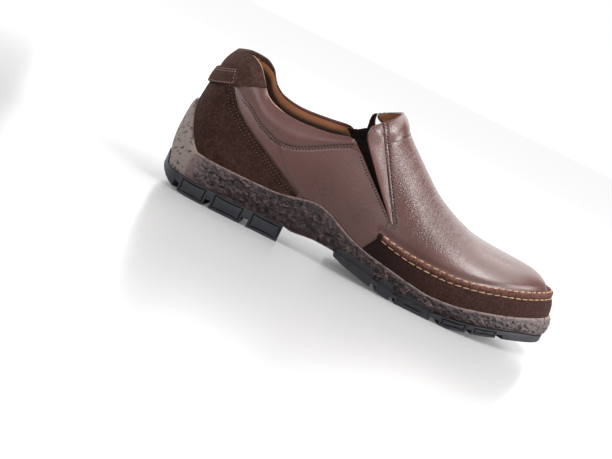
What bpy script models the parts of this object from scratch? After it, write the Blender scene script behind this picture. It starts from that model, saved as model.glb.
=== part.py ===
"""Slip-on leather shoe for the right foot, built from its sewn and bonded pieces.

Metres, +Z up, +X to the toe, -Y to the outer side of the foot.
The origin is the middle of the sole's outline, on the floor.
The sizes below are in millimetres, measured from the back of the heel along x,
from the middle of the heel along y and from the floor along z.
"""
import math

import bmesh
import bpy
import numpy as np

MM = 0.001
OUTER = -1
INNER = 1
WHOLE = 0
RISING = 1
FALLING = 2

# Facets across the pieces
BAND_ROWS = 4
SEAM_ROWS = 5
COUNTER_ROWS = 5
PATCH_ROWS = 5
STRAP_ROWS = 3
STRAP_COLUMNS = 15
GORE_ROWS = 10
GORE_COLUMNS = 5
OUTLINE_SAMPLES = 721

# Fineness of the searches and slopes on the last
HALVINGS = 45
SLOPE_STEP = 1e-3
NEAR_SPINE = 0.999

# Shares along the foot and places along x between which side-view lines are looked for
SIDE_SHARES = (0.15, 0.95)
PATCH_REACH = (30.0, 60.0)

# Driving sizes
SHOE_LENGTH = 304.0
SKIN_INSET = 4.6
WALL = 2.2
FIT_GAP = 0.3
WELD = 0.05
OVERLAY = 1.3
GORE_THICKNESS = 1.2
GORE_GAP = 0.8
INSOLE_THICKNESS = 4.0
SEAT_GAP = 0.4
SPINE_SHIFT = 4.0
SPINE_SHIFT_START = 140.0
SPINE_SHIFT_RUN = 100.0
COLLAR_PUFF = 1.2
CUFF_PUFF = 0.9
CUFF_BAND = 14.0
CUFF_LOW = 88.0
CUFF_FADE = 14.0
BUMPER_TOP = 62.0
BUMPER_FULL = 12.0
BUMPER_END = 27.0
WRAP_RISE = 11.0
WRAP_FULL = 8.0
WRAP_END = 19.0
WRAP_DEPTH = 9.0
SEAM_PROUD = 2.4
SEAM_EDGE = 0.7
LOOP_FOOT_Y = 31.5
LOOP_RISE = 1.0
LOOP_WIDTH = 11.0
LOOP_THICKNESS = 1.1
LOOP_BOW = 0.2
PATCH_BACK_HEIGHT = 72.0
PATCH_SLOPE = 0.45
PATCH_LEAST = 4.0
PATCH_GAP = 0.4
GORE_MARGIN = 4.0
LUG_REACH = 18.0
LUG_GROOVE = 4.0
HEEL_LUG_DEPTH = 5.0
FORE_LUG_DEPTH = 2.8
TREAD_INSET = 1.2
LEAST_BASE = 0.8

# Ribs of the last from heel to toe: where a rib leaves the edge of the sole on both sides of the foot,
# and where it reaches the spine. Columns: name, x, outer y, inner y, spine x.
RIBS = (
    ("heel back", 0.0, 0.0, 0.0, 36.0),
    ("heel turn", 4.8, 18.0, 18.0, 37.0),
    ("heel corner", 18.0, 31.5, 31.0, 39.5),
    ("heel side", 38.0, 37.0, 35.5, 46.0),
    ("seat", 70.0, 39.0, 36.0, 72.0),
    ("waist", 108.0, 40.5, 33.5, 108.0),
    ("instep", 142.0, 46.0, 37.0, 141.0),
    ("joint", 176.0, 53.5, 46.0, 173.0),
    ("ball", 208.0, 56.5, 52.0, 202.0),
    ("toe root", 238.0, 54.0, 53.5, 227.0),
    ("toe side", 264.0, 45.5, 48.0, 245.0),
    ("toe turn", 285.5, 32.0, 37.5, 256.0),
    ("toe corner", 300.0, 14.5, 22.0, 261.5),
    ("toe tip", SHOE_LENGTH, -4.0, 4.0, 264.0),
)

# Spine of the last. Columns: x, height, fullness of the section (2 is an ellipse, more is squarer).
SPINE = (
    (36.0, 120.0, 2.55),
    (46.0, 124.5, 2.6),
    (72.0, 131.0, 2.6),
    (108.0, 132.0, 2.5),
    (124.0, 127.5, 2.4),
    (141.0, 117.0, 2.3),
    (152.0, 105.8, 2.2),
    (164.0, 95.8, 2.15),
    (177.0, 85.5, 2.15),
    (190.0, 75.8, 2.2),
    (202.0, 69.3, 2.25),
    (214.0, 64.2, 2.3),
    (227.0, 60.2, 2.4),
    (245.0, 58.6, 2.45),
    (264.0, 58.0, 2.5),
)

# Side view of the sole. Columns: x, top of the rim, floor of the pocket, underside of the sole unit.
SOLE = (
    (0.0, 33.0, 24.0, 12.2),
    (40.0, 30.3, 23.0, 12.2),
    (80.0, 31.0, 23.0, 12.4),
    (94.0, 33.2, 22.4, 12.4),
    (104.0, 35.6, 21.8, 10.8),
    (113.0, 36.7, 21.2, 11.8),
    (122.0, 35.0, 20.3, 12.7),
    (133.0, 30.3, 19.0, 12.5),
    (143.0, 26.2, 17.5, 11.7),
    (160.0, 21.9, 15.2, 10.0),
    (177.0, 19.4, 13.3, 7.4),
    (193.0, 17.0, 11.8, 5.5),
    (209.0, 15.4, 11.4, 5.6),
    (225.0, 16.3, 11.9, 7.4),
    (246.0, 20.0, 14.4, 9.8),
    (263.0, 23.4, 17.4, 13.0),
    (283.0, 28.0, 21.2, 16.6),
    (SHOE_LENGTH, 32.6, 24.6, 18.0),
)

# Faces of the lugs towards the floor. Columns: x, height.
TREAD = (
    (0.0, 13.0),
    (3.0, 9.0),
    (8.0, 5.0),
    (15.0, 1.8),
    (24.0, 0.0),
    (100.0, 0.0),
    (136.0, 9.6),
    (144.0, 7.3),
    (155.0, 4.9),
    (167.0, 2.6),
    (178.0, 1.0),
    (188.0, 0.0),
    (228.0, 0.0),
    (239.0, 2.0),
    (254.0, 4.6),
    (266.0, 7.4),
    (280.0, 9.8),
    (SHOE_LENGTH, 13.2),
)

# Top of the collar. Columns: x, height on the outer side, height on the inner side.
TOPLINE = (
    (13.0, 105.2, 105.2),
    (26.0, 107.3, 107.9),
    (35.0, 104.0, 107.2),
    (43.0, 95.5, 103.0),
    (50.0, 87.5, 94.0),
    (60.0, 83.2, 88.0),
    (75.0, 81.5, 86.2),
    (95.0, 83.0, 88.0),
    (116.0, 88.0, 91.5),
)

# Lower seam of the padded collar. Columns: x, height.
COLLAR_SEAM = (
    (29.0, 85.0),
    (41.0, 76.5),
    (53.0, 68.3),
    (62.0, 64.6),
    (71.0, 62.5),
    (79.0, 63.8),
    (91.0, 69.0),
    (103.0, 76.0),
    (116.0, 83.0),
)

# Edges beside the gore. Columns: height, x of the quarter's edge, x of the vamp's edge.
GORE_TIP = 47.5
GORE_EDGES = (
    (GORE_TIP, 164.0, 164.0),
    (53.0, 157.3, 158.8),
    (60.0, 149.0, 152.0),
    (70.0, 137.0, 142.8),
    (80.0, 125.3, 134.0),
    (88.0, 115.2, 127.0),
    (93.0, 109.0, 123.8),
)

# Seam of the flap in front of the gore. Columns: height, x.
FLAP_SEAM = (
    (GORE_TIP, 166.5),
    (53.0, 163.0),
    (70.0, 152.0),
    (88.0, 140.8),
    (106.0, 129.4),
)
FLAP_LEAST = 0.012
FLAP_HIGH = 104.5
GORE_LOW = 42.0

# Throat edge of the vamp above the gore, on the outer and the inner side. Columns: height, x.
THROAT = (
    (95.0, 123.3),
    (101.0, 124.2),
    (105.0, 128.2),
    (111.0, 135.4),
    (117.0, 141.0),
)
INNER_THROAT = (
    (97.0, 122.8),
    (104.0, 123.0),
    (107.3, 125.2),
    (109.4, 128.7),
    (113.2, 135.2),
    (117.0, 141.0),
)

# Top edge of the gores. Columns: x, height on the outer side, height on the inner side.
GORE_TOPS = (
    (104.0, 83.6, 87.2),
    (114.0, 87.3, 89.4),
    (124.0, 90.8, 95.6),
    (130.0, 92.6, 97.4),
)

# Moccasin seam. Columns: x, height of its lower edge, height of its upper edge.
SEAM = (
    (158.0, 35.6, 40.4),
    (177.0, 31.3, 37.2),
    (192.0, 29.6, 35.9),
    (210.0, 29.0, 35.3),
    (225.0, 30.0, 35.8),
    (240.0, 32.2, 38.0),
    (255.0, 35.2, 41.2),
    (270.0, 38.3, 44.6),
    (285.0, 42.0, 48.2),
    (300.0, 45.2, 51.2),
)
SEAM_BACK = 161.0
MUDGUARD_BACK = 156.0

# Front edge of the heel counter. Columns: x, height.
COUNTER = (
    (25.5, 82.6),
    (33.0, 73.2),
    (43.0, 65.4),
    (53.5, 59.1),
    (64.0, 53.7),
    (74.0, 48.3),
    (84.5, 42.9),
    (96.0, 37.0),
)
COUNTER_END = 92.0

# Edge lugs. Columns: start, end.
HEEL_LUGS = ((0.0, 14.0), (18.5, 40.0), (44.5, 69.0), (74.0, 98.0))
FORE_LUGS = (
    (138.0, 169.0),
    (173.5, 185.0),
    (189.0, 216.0),
    (223.0, 243.0),
    (247.0, 265.0),
    (270.0, SHOE_LENGTH),
)


def smooth_line(rows, column):
    """Monotone cubic through one column of a table whose first column rises."""
    knots = np.array([row[0] for row in rows])
    values = np.array([row[column] for row in rows])
    step = np.diff(knots)
    slope = np.diff(values) / step
    tangent = np.zeros_like(knots)
    tangent[0] = slope[0]
    tangent[-1] = slope[-1]
    for i in range(1, len(knots) - 1):
        if slope[i - 1] * slope[i] > 0.0:
            before = 2.0 * step[i] + step[i - 1]
            after = step[i] + 2.0 * step[i - 1]
            tangent[i] = (before + after) / (before / slope[i - 1] + after / slope[i])

    def value(x):
        x = np.clip(np.asarray(x, float), knots[0], knots[-1])
        i = np.clip(np.searchsorted(knots, x) - 1, 0, len(step) - 1)
        s = (x - knots[i]) / step[i]
        start = (1.0 + 2.0 * s) * (1.0 - s) ** 2 * values[i] + s * (1.0 - s) ** 2 * step[i] * tangent[i]
        end = s * s * (3.0 - 2.0 * s) * values[i + 1] + s * s * (s - 1.0) * step[i] * tangent[i + 1]
        return start + end

    return value


def closed_spline(knots, values, period):
    """Cubic spline with even curvature through values that repeat after a period."""
    count = len(knots)
    step = np.diff(np.append(knots, knots[0] + period))
    slope = np.diff(np.append(values, values[0])) / step
    system = np.zeros((count, count))
    for i in range(count):
        system[i, i - 1] += step[i - 1]
        system[i, i] += 2.0 * (step[i - 1] + step[i])
        system[i, (i + 1) % count] += step[i]
    bend = np.linalg.solve(system, 6.0 * (slope - np.roll(slope, 1)))

    def value(theta):
        theta = np.mod(np.asarray(theta, float) - knots[0], period) + knots[0]
        i = np.clip(np.searchsorted(knots, theta, side="right") - 1, 0, count - 1)
        j = (i + 1) % count
        s = theta - knots[i]
        first = slope[i] - step[i] * (2.0 * bend[i] + bend[j]) / 6.0
        return values[i] + s * (first + s * (bend[i] / 2.0 + s * (bend[j] - bend[i]) / (6.0 * step[i])))

    return value


def smooth_step(share):
    share = np.clip(share, 0.0, 1.0)
    return share * share * (3.0 - 2.0 * share)


# Edge of the sole as a loop: theta runs 0 to 1 from heel to toe on the outer side,
# and on to 2 back on the inner side.
rib_x = np.array([row[1] for row in RIBS])
rib_outer = np.array([-row[2] for row in RIBS])
rib_inner = np.array([row[3] for row in RIBS])
rib_chord = np.hypot(np.diff(rib_x), (np.abs(np.diff(rib_outer)) + np.abs(np.diff(rib_inner))) / 2.0)
rib_share = np.append(0.0, np.cumsum(rib_chord)) / rib_chord.sum()
LOOP = 2.0
loop_knots = np.concatenate((rib_share, LOOP - rib_share[-2:0:-1]))
edge_x = closed_spline(loop_knots, np.concatenate((rib_x, rib_x[-2:0:-1])), LOOP)
edge_y = closed_spline(loop_knots, np.concatenate((rib_outer, rib_inner[-2:0:-1])), LOOP)
spine_x = smooth_line([(share, row[4]) for share, row in zip(rib_share, RIBS)], 1)
spine_height = smooth_line(SPINE, 1)
spine_fullness = smooth_line(SPINE, 2)
rim_line = smooth_line(SOLE, 1)
floor_line = smooth_line(SOLE, 2)
under_line = smooth_line(SOLE, 3)
tread_line = smooth_line(TREAD, 1)
topline = {OUTER: smooth_line(TOPLINE, 1), INNER: smooth_line(TOPLINE, 2)}
collar_seam = smooth_line(COLLAR_SEAM, 1)
gore_back = smooth_line(GORE_EDGES, 1)
gore_front = [(row[0], row[2]) for row in GORE_EDGES]
vamp_edge = {
    OUTER: smooth_line(gore_front + list(THROAT), 1),
    INNER: smooth_line(gore_front + list(INNER_THROAT), 1),
}
gore_top = {OUTER: smooth_line(GORE_TOPS, 1), INNER: smooth_line(GORE_TOPS, 2)}
flap_seam = smooth_line(FLAP_SEAM, 1)
seam_low = smooth_line(SEAM, 1)
seam_high = smooth_line(SEAM, 2)
counter_line = smooth_line(COUNTER, 1)


def heel_share(theta):
    """How far along the foot a place on the loop is, 0 at the heel and 1 at the toe."""
    theta = np.mod(theta, LOOP)
    return np.minimum(theta, LOOP - theta)


def around(share, side):
    """Place on the loop of a share along the foot, on one side."""
    return share if side == OUTER else LOOP - share


def side_of(theta):
    return np.where(np.mod(theta, LOOP) <= 1.0, OUTER, INNER)


def rib(theta):
    """Edge point, spine point and length of the rib in plan."""
    share = heel_share(theta)
    edge = np.stack((edge_x(theta), edge_y(theta)), axis=-1)
    reach = spine_x(share)
    shift = SPINE_SHIFT * smooth_step((reach - SPINE_SHIFT_START) / SPINE_SHIFT_RUN)
    spine = np.stack((reach, shift), axis=-1)
    return edge, spine, np.linalg.norm(spine - edge, axis=-1)


def plan(theta, inset):
    """Plan position at an inset from the edge of the sole along the rib."""
    edge, spine, length = rib(theta)
    return edge + (spine - edge) * (inset / length)[..., None]


def pocket_floor(theta):
    """Height of the pocket's floor under the upper's wall."""
    return floor_line(plan(theta, np.full(np.shape(theta), SKIN_INSET))[..., 0])


def section(theta):
    """Length, foot height, spine height and fullness of the rib's section."""
    edge, spine, length = rib(theta)
    foot = pocket_floor(theta) + FIT_GAP
    return length, foot, spine_height(spine[..., 0]), spine_fullness(spine[..., 0])


def bare_skin(theta, girth):
    """Outer face of the upper without padding; girth runs 0 at the sole to 1 at the spine."""
    theta, girth = np.broadcast_arrays(np.asarray(theta, float), np.asarray(girth, float))
    length, foot, top, fullness = section(theta)
    turn = np.clip(girth, 0.0, 1.0) * math.pi / 2.0
    rise = np.sin(turn) ** (2.0 / fullness)
    run = 1.0 - np.maximum(np.cos(turn), 0.0) ** (2.0 / fullness)
    flat = plan(theta, SKIN_INSET + (length - SKIN_INSET) * run)
    return np.concatenate((flat, (foot + (top - foot) * rise)[..., None]), axis=-1)


def girth_at(theta, height):
    """Girth share at which a rib passes a height."""
    length, foot, top, fullness = section(theta)
    rise = np.clip((height - foot) / (top - foot), 0.0, 1.0)
    return np.arcsin(rise ** (fullness / 2.0)) / (math.pi / 2.0)


def skin_inset(theta, height):
    """Inset of the upper's outer face from the edge of the sole at a height."""
    length, foot, top, fullness = section(theta)
    rise = np.clip((height - foot) / (top - foot), 0.0, 1.0)
    return SKIN_INSET + (length - SKIN_INSET) * (1.0 - (1.0 - rise ** fullness) ** (1.0 / fullness))


def skin_normal(theta, girth):
    higher = np.minimum(girth + SLOPE_STEP, 1.0)
    lower = np.maximum(girth - SLOPE_STEP, 0.0)
    along = bare_skin(theta + SLOPE_STEP, girth) - bare_skin(theta - SLOPE_STEP, girth)
    up = bare_skin(theta, higher) - bare_skin(theta, lower)
    normal = np.cross(along, up)
    return normal / np.linalg.norm(normal, axis=-1)[..., None]


def puff(point, side):
    """Padding of the collar and of the throat cuff."""
    x, z = point[..., 0], point[..., 2]
    top = np.where(side == OUTER, topline[OUTER](x), topline[INNER](x))
    low = collar_seam(x)
    collar_share = np.clip((z - low) / np.maximum(top - low, 1.0), 0.0, 1.0)
    collar = np.where(x < TOPLINE[-1][0], COLLAR_PUFF * np.sin(math.pi * collar_share), 0.0)
    throat_z, throat_x = THROAT[-1]
    gore_z, gore_x = THROAT[1]
    slant = math.hypot(throat_z - gore_z, throat_x - gore_x)
    ahead = np.array([throat_z - gore_z, gore_x - throat_x]) / slant
    cuff_share = ((x - throat_x) * ahead[0] + (z - throat_z) * ahead[1]) / CUFF_BAND
    cuff = CUFF_PUFF * np.sin(math.pi * np.clip(cuff_share, 0.0, 1.0))
    return collar + cuff * smooth_step((z - CUFF_LOW) / CUFF_FADE)


def skin(theta, girth, lift=0.0):
    """Outer face of the upper, raised by a lift along its normal."""
    theta, girth = np.broadcast_arrays(np.asarray(theta, float), np.asarray(girth, float))
    bare = bare_skin(theta, girth)
    raised = puff(bare, side_of(theta)) + lift
    return bare + skin_normal(theta, girth) * raised[..., None]


def halve(low, high, rising):
    """Root of a function that rises from low to high, by halving."""
    low, high = np.broadcast_arrays(np.asarray(low, float), np.asarray(high, float))
    low, high = low.copy(), high.copy()
    for _ in range(HALVINGS):
        middle = (low + high) / 2.0
        above = rising(middle) > 0.0
        high = np.where(above, middle, high)
        low = np.where(above, low, middle)
    return (low + high) / 2.0


def girth_on(theta, line):
    """Girth share at which a rib crosses a side-view line given as height over x."""

    def over(girth):
        point = bare_skin(theta, girth)
        return point[..., 2] - line(point[..., 0])

    return halve(np.zeros_like(theta), np.full_like(theta, NEAR_SPINE), over)


def share_on(girth, side, line):
    """Share along the foot at which a girth row crosses a side-view line given as x over height."""

    def ahead(share):
        point = bare_skin(around(share, side), girth)
        return point[..., 0] - line(point[..., 2])

    return halve(np.full_like(girth, SIDE_SHARES[0]), np.full_like(girth, SIDE_SHARES[1]), ahead)


def girth_along(line, side, heights):
    """Girth shares at which a side-view line given as x over height passes some heights."""

    def over(girth):
        theta = around(share_on(girth, side, line), side)
        return bare_skin(theta, girth)[..., 2] - heights

    return halve(np.zeros_like(heights), np.ones_like(heights), over)


def share_at(x):
    """Share along the foot at which the edge of the sole has an x."""
    x = np.asarray(x, float)
    return halve(np.zeros_like(x), np.ones_like(x), lambda share: edge_x(share) - x)


def rim_height(theta):
    """Top of the sole's rim, with the bumper at the back of the heel."""
    x, y = edge_x(theta), edge_y(theta)
    fade = 1.0 - smooth_step((np.abs(y) - BUMPER_FULL) / (BUMPER_END - BUMPER_FULL))
    heel = np.where(x < BUMPER_END, fade, 0.0)
    return rim_line(x) + (BUMPER_TOP - rim_line(0.0)) * heel


def under_height(theta, inset, x):
    """Underside of the sole unit, lifted at the back edge where the tread wraps up."""
    y = np.abs(edge_y(theta))
    fade = 1.0 - smooth_step((y - WRAP_FULL) / (WRAP_END - WRAP_FULL))
    near_edge = np.clip(1.0 - inset / WRAP_DEPTH, 0.0, 1.0)
    return under_line(x) + np.where(x < WRAP_END, WRAP_RISE * fade * near_edge, 0.0)


# Middle of the sole's outline, which becomes the origin
outline = plan(np.linspace(0.0, LOOP, OUTLINE_SAMPLES), np.zeros(OUTLINE_SAMPLES))
CENTRE = np.append((outline.min(axis=0) + outline.max(axis=0)) / 2.0, 0.0)


def to_frame(points):
    return (points - CENTRE) * MM


def material(name, colour, roughness, metallic=0.0):
    made = bpy.data.materials.new(name)
    made.use_nodes = True
    shader = made.node_tree.nodes["Principled BSDF"]
    shader.inputs["Base Color"].default_value = (*colour, 1.0)
    shader.inputs["Roughness"].default_value = roughness
    shader.inputs["Metallic"].default_value = metallic
    return made


def add_grid(shape, points, flip=False, diagonals=None):
    """Faces of a grid of points, added to a bmesh; returns its vertices by row and column.

    Pieces that lie on each other are split along the same diagonals, so that their facets run parallel.
    A row's diagonal is RISING, FALLING or WHOLE for no split.
    """
    rows, columns = points.shape[:2]
    diagonals = diagonals or [RISING] * (rows - 1)
    corners = [[shape.verts.new(to_frame(points[r, c])) for c in range(columns)] for r in range(rows)]
    for r in range(rows - 1):
        for c in range(columns - 1):
            near, right = corners[r][c:c + 2]
            left, far = corners[r + 1][c:c + 2]
            faces = {
                WHOLE: ([near, right, far, left],),
                RISING: ([near, right, far], [near, far, left]),
                FALLING: ([near, right, left], [right, far, left]),
            }[diagonals[r]]
            for face in faces:
                shape.faces.new(face[::-1] if flip else face)
    return corners


def finish(shape, name, surface, closed):
    """Welds the patches of a bmesh and makes the named object from it."""
    bmesh.ops.remove_doubles(shape, verts=shape.verts, dist=WELD * MM)
    bmesh.ops.dissolve_degenerate(shape, edges=shape.edges, dist=WELD * MM)
    if closed:
        bmesh.ops.recalc_face_normals(shape, faces=shape.faces)
    mesh = bpy.data.meshes.new(name)
    shape.to_mesh(mesh)
    shape.free()
    mesh.materials.append(surface)
    made = bpy.data.objects.new(name, mesh)
    bpy.context.scene.collection.objects.link(made)
    return made


def slab(name, inside, outside, surface):
    """Closed piece between two grids of the same size."""
    shape = bmesh.new()
    add_grid(shape, outside)
    add_grid(shape, inside, flip=True)
    for edge in (0, -1):
        add_grid(shape, np.stack((inside[edge], outside[edge])), flip=edge == -1)
        add_grid(shape, np.stack((inside[:, edge], outside[:, edge])), flip=edge == 0)
    return finish(shape, name, surface, closed=True)


def overlay(name, theta, girth, low_lift, thickness, surface):
    """Piece that follows the upper's outer face between two lifts."""
    return slab(name, skin(theta, girth, low_lift), skin(theta, girth, low_lift + thickness), surface)


def rows_between(low, high, count):
    share = np.linspace(0.0, 1.0, count)[:, None]
    return low + (high - low) * share


def section_grid(shares, side, insets, heights):
    """Grid of a sole piece on one side: one column for each rib, one row for each place in its section."""
    theta = around(shares, side)
    points = []
    for inset, height in zip(insets(theta), heights(theta)):
        points.append(np.concatenate((plan(theta, inset), height[:, None]), axis=-1))
    return np.stack(points)


def section_diagonals(insets):
    """Diagonals of a section's rows: rising on the way out to the edge, falling on the way back in."""
    middle = [float(inset[0]) for inset in insets(np.array([0.5]))]
    ways = [RISING if after <= before else FALLING for before, after in zip(middle, middle[1:])]
    return [WHOLE] + ways[1:-1] + [WHOLE]


def ring_solid(name, shares, insets, heights, surface):
    """Sole piece with the same section all round, from under its spine to over its spine."""
    shape = bmesh.new()
    for side in (OUTER, INNER):
        grid = section_grid(shares, side, insets, heights)
        add_grid(shape, grid, side == INNER, section_diagonals(insets))
    return finish(shape, name, surface, closed=True)


for old in list(bpy.data.objects):
    bpy.data.objects.remove(old, do_unlink=True)

leather = material("brown leather", (0.155, 0.085, 0.072), 0.45)
suede = material("chocolate suede", (0.055, 0.028, 0.022), 0.95)
dark_suede = material("dark suede", (0.04, 0.02, 0.015), 0.95)
sole_rubber = material("grey brown rubber", (0.13, 0.11, 0.105), 0.8)
tread_rubber = material("dark tread rubber", (0.045, 0.045, 0.055), 0.75)
elastic = material("black elastic", (0.012, 0.008, 0.008), 0.9)
footbed = material("tan footbed", (0.33, 0.16, 0.07), 0.6)

# Upper: quarters from the heel to the gores and vamp from the gores to the toe, both on shared girth rows
UPPER_ROWS = 14
TIP_ROW = 4
TIP_GIRTH_GUESS = 0.3
QUARTER_COLUMNS = 18
VAMP_COLUMNS = 17
FLAP_COLUMNS = 2
tip_guess = np.array([TIP_GIRTH_GUESS])
tip_share = float(share_on(tip_guess, OUTER, lambda z: np.full_like(z, GORE_EDGES[0][1]))[0])
tip_girth = float(girth_at(np.array([tip_share]), GORE_TIP)[0])
vamp_rows = np.concatenate((
    np.linspace(0.0, tip_girth, TIP_ROW + 1),
    np.linspace(tip_girth, 1.0, UPPER_ROWS - TIP_ROW)[1:],
))


def vamp_start(side):
    """Share along the foot at which each girth row of the vamp starts."""
    start = share_on(vamp_rows, side, vamp_edge[side])
    below = np.arange(UPPER_ROWS) <= TIP_ROW
    return np.where(below, start[TIP_ROW], start)


def vamp_patch(side):
    """Rows from the sole to the spine; the first columns lie under the flap beside the gore."""
    start = vamp_start(side)
    seam = np.maximum(share_on(vamp_rows, side, flap_seam), start + FLAP_LEAST)
    seam[:TIP_ROW] = seam[TIP_ROW]
    under_flap = np.linspace(0.0, 1.0, FLAP_COLUMNS + 1)[None, :-1]
    ahead = np.linspace(0.0, 1.0, VAMP_COLUMNS + 1)[None, :]
    flap = start[:, None] + (seam - start)[:, None] * under_flap
    rest = seam[:, None] + (1.0 - seam)[:, None] * ahead
    shares = np.concatenate((flap, rest), axis=1)
    return around(shares, side), np.broadcast_to(vamp_rows[:, None], shares.shape)


def collar_corner(side):
    """Girth share at which the gore's back edge meets the collar."""

    def over(girth):
        point = bare_skin(around(share_on(girth, side, gore_back), side), girth)
        return point[..., 2] - topline[side](point[..., 0])

    return float(halve(np.array([tip_girth]), np.array([NEAR_SPINE]), over)[0])


def quarter_patch(side):
    """Rows from the sole to the collar; the last column runs up the gore's back edge."""
    level = np.linspace(0.0, 1.0, UPPER_ROWS - TIP_ROW)[1:]
    corner = collar_corner(side)
    gore_rows = np.concatenate((vamp_rows[:TIP_ROW + 1], tip_girth + (corner - tip_girth) * level))
    gore_share = share_on(gore_rows, side, gore_back)
    gore_share[:TIP_ROW + 1] = vamp_start(side)[TIP_ROW]
    spread = np.linspace(0.0, 1.0, QUARTER_COLUMNS + 1)[None, :]
    shares = gore_share[:, None] * spread
    top_girth = girth_on(around(shares[-1], side), topline[side])
    top_girth[-1] = corner
    even = np.linspace(0.0, 1.0, UPPER_ROWS)[:, None] * top_girth[None, :]
    sloped = gore_rows[:, None] * top_girth[None, :] / corner
    return around(shares, side), even * (1.0 - spread ** 2) + sloped * spread ** 2


shape = bmesh.new()
for side in (OUTER, INNER):
    for patch in (quarter_patch, vamp_patch):
        theta, girth = patch(side)
        add_grid(shape, skin(theta, girth), flip=side == INNER)
upper = finish(shape, "upper", leather, closed=False)
wall = upper.modifiers.new("wall", "SOLIDIFY")
wall.thickness = WALL * MM
wall.offset = -1.0
wall.use_even_offset = True

# Columns shared by the sole's pieces and the overlays: the ends of the lugs, with even steps between them
HEEL_STEP = 0.0165
PLAIN_STEP = 0.028
lug_ends = share_at([x for row in HEEL_LUGS + FORE_LUGS for x in row])
lug_ends[0] = 0.0
lug_ends[-1] = 1.0
sole_shares = [0.0]
for start, end in zip(lug_ends[:-1], lug_ends[1:]):
    steps = math.ceil((end - start) / (HEEL_STEP if start == 0.0 else PLAIN_STEP))
    sole_shares += list(np.linspace(start, end, steps + 1)[1:])
sole_shares = np.array(sole_shares)


def sole_column(x):
    """Number of the sole's column nearest to an x along its edge."""
    return int(np.argmin(np.abs(sole_shares - share_at([x])[0])))


# Sole unit: underside, side wall, rim and pocket
CORNER_INSET = 2.2
UNDER_SHARE = 0.6
UNDER_ROWS = 3
POCKET_SHARES = (1.0, 0.5, 0.0)
BED_SHARES = (0.5, 1.0)

# Side wall of the sole unit from the tread to the rim. Columns: inset, share of its height.
SIDE_WALL = (
    (CORNER_INSET, 0.0),
    (0.6, 0.18),
    (0.0, 0.4),
    (0.5, 0.7),
    (1.6, 0.92),
    (2.8, 1.0),
)


def unit_insets(theta):
    length = rib(theta)[2]
    whole = np.ones_like(theta)
    rim = rim_height(theta)
    foot = pocket_floor(theta)
    pocket = [skin_inset(theta, foot + (rim - foot) * share) - SEAT_GAP for share in POCKET_SHARES]
    under = [length, length * UNDER_SHARE, WRAP_DEPTH * whole]
    bed = [length * share for share in BED_SHARES]
    return under + [row[0] * whole for row in SIDE_WALL] + pocket + bed


def unit_heights(theta):
    insets = unit_insets(theta)
    rim = rim_height(theta)
    foot = pocket_floor(theta)
    low = under_height(theta, CORNER_INSET, edge_x(theta))
    under = [under_height(theta, inset, plan(theta, inset)[:, 0]) for inset in insets[:UNDER_ROWS]]
    wall_line = [low + (rim - low) * row[1] for row in SIDE_WALL]
    pocket = [foot + (rim - foot) * share for share in POCKET_SHARES]
    bed = [floor_line(plan(theta, inset)[:, 0]) for inset in insets[-len(BED_SHARES):]]
    return under + wall_line + pocket + bed


ring_solid("midsole", sole_shares, unit_insets, unit_heights, sole_rubber)

# Insole on the pocket's floor
INSOLE_INSET = SKIN_INSET + WALL + FIT_GAP * 2.0


def insole_insets(theta):
    length = rib(theta)[2]
    edge = np.full_like(theta, INSOLE_INSET)
    half = length * BED_SHARES[0]
    return [length, half, edge, edge, half, length]


def insole_heights(theta):
    places = [plan(theta, inset)[:, 0] for inset in insole_insets(theta)]
    lifts = [FIT_GAP] * 3 + [FIT_GAP + INSOLE_THICKNESS] * 3
    return [floor_line(x) + lift for x, lift in zip(places, lifts)]


ring_solid("insole", sole_shares, insole_insets, insole_heights, footbed)

# Rows of a tread pad's section: its underside, and those from which lugs are pressed
PAD_BASE_ROWS = 4
LUG_SECTION_ROWS = (0, 2)


def tread_pad(name, lugs, lug_depth):
    """Tread under one end of the sole: a base with edge lugs and middle lugs pressed out of it."""
    ends = [(sole_column(start), sole_column(end)) for start, end in lugs]
    shares = sole_shares[ends[0][0]:ends[-1][1] + 1]
    lug_columns = [column - ends[0][0] for start, end in ends for column in range(start, end)]

    def insets(theta):
        length = rib(theta)[2]
        edge = np.full_like(theta, TREAD_INSET)
        lug_end = np.full_like(theta, LUG_REACH)
        groove_end = lug_end + LUG_GROOVE
        wrap_end = np.full_like(theta, WRAP_DEPTH)
        return [length, groove_end, lug_end, edge, edge, wrap_end, groove_end, length]

    def heights(theta):
        place = [plan(theta, inset)[:, 0] for inset in insets(theta)]
        top = [under_height(theta, inset, x) - FIT_GAP for inset, x in zip(insets(theta), place)]
        lug_root = [tread_line(x) + lug_depth for x in place]
        base = [np.minimum(low, high - LEAST_BASE) for low, high in zip(lug_root, top)]
        return base[:PAD_BASE_ROWS] + top[PAD_BASE_ROWS:]

    pad = bmesh.new()
    is_lug = pad.faces.layers.int.new("lug")
    for side in (OUTER, INNER):
        grid = section_grid(shares, side, insets, heights)
        corners = add_grid(pad, grid, side == INNER, section_diagonals(insets))
        for column in lug_columns:
            for row in LUG_SECTION_ROWS:
                far = corners[row + 1][column + 1]
                for face in corners[row][column].link_faces:
                    face[is_lug] |= int(far in face.verts)
    bmesh.ops.remove_doubles(pad, verts=pad.verts, dist=WELD * MM)
    lug_faces = [face for face in pad.faces if face[is_lug]]
    pulled = bmesh.ops.extrude_face_region(pad, geom=lug_faces)
    for vertex in pulled["geom"]:
        if isinstance(vertex, bmesh.types.BMVert):
            vertex.co.z = float(tread_line(vertex.co.x / MM + CENTRE[0])) * MM
    bmesh.ops.delete(pad, geom=[face for face in lug_faces if face.is_valid], context="FACES")
    open_edges = [edge for edge in pad.edges if edge.is_boundary]
    bmesh.ops.holes_fill(pad, edges=open_edges, sides=0)
    return finish(pad, name, tread_rubber, closed=True)


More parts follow.
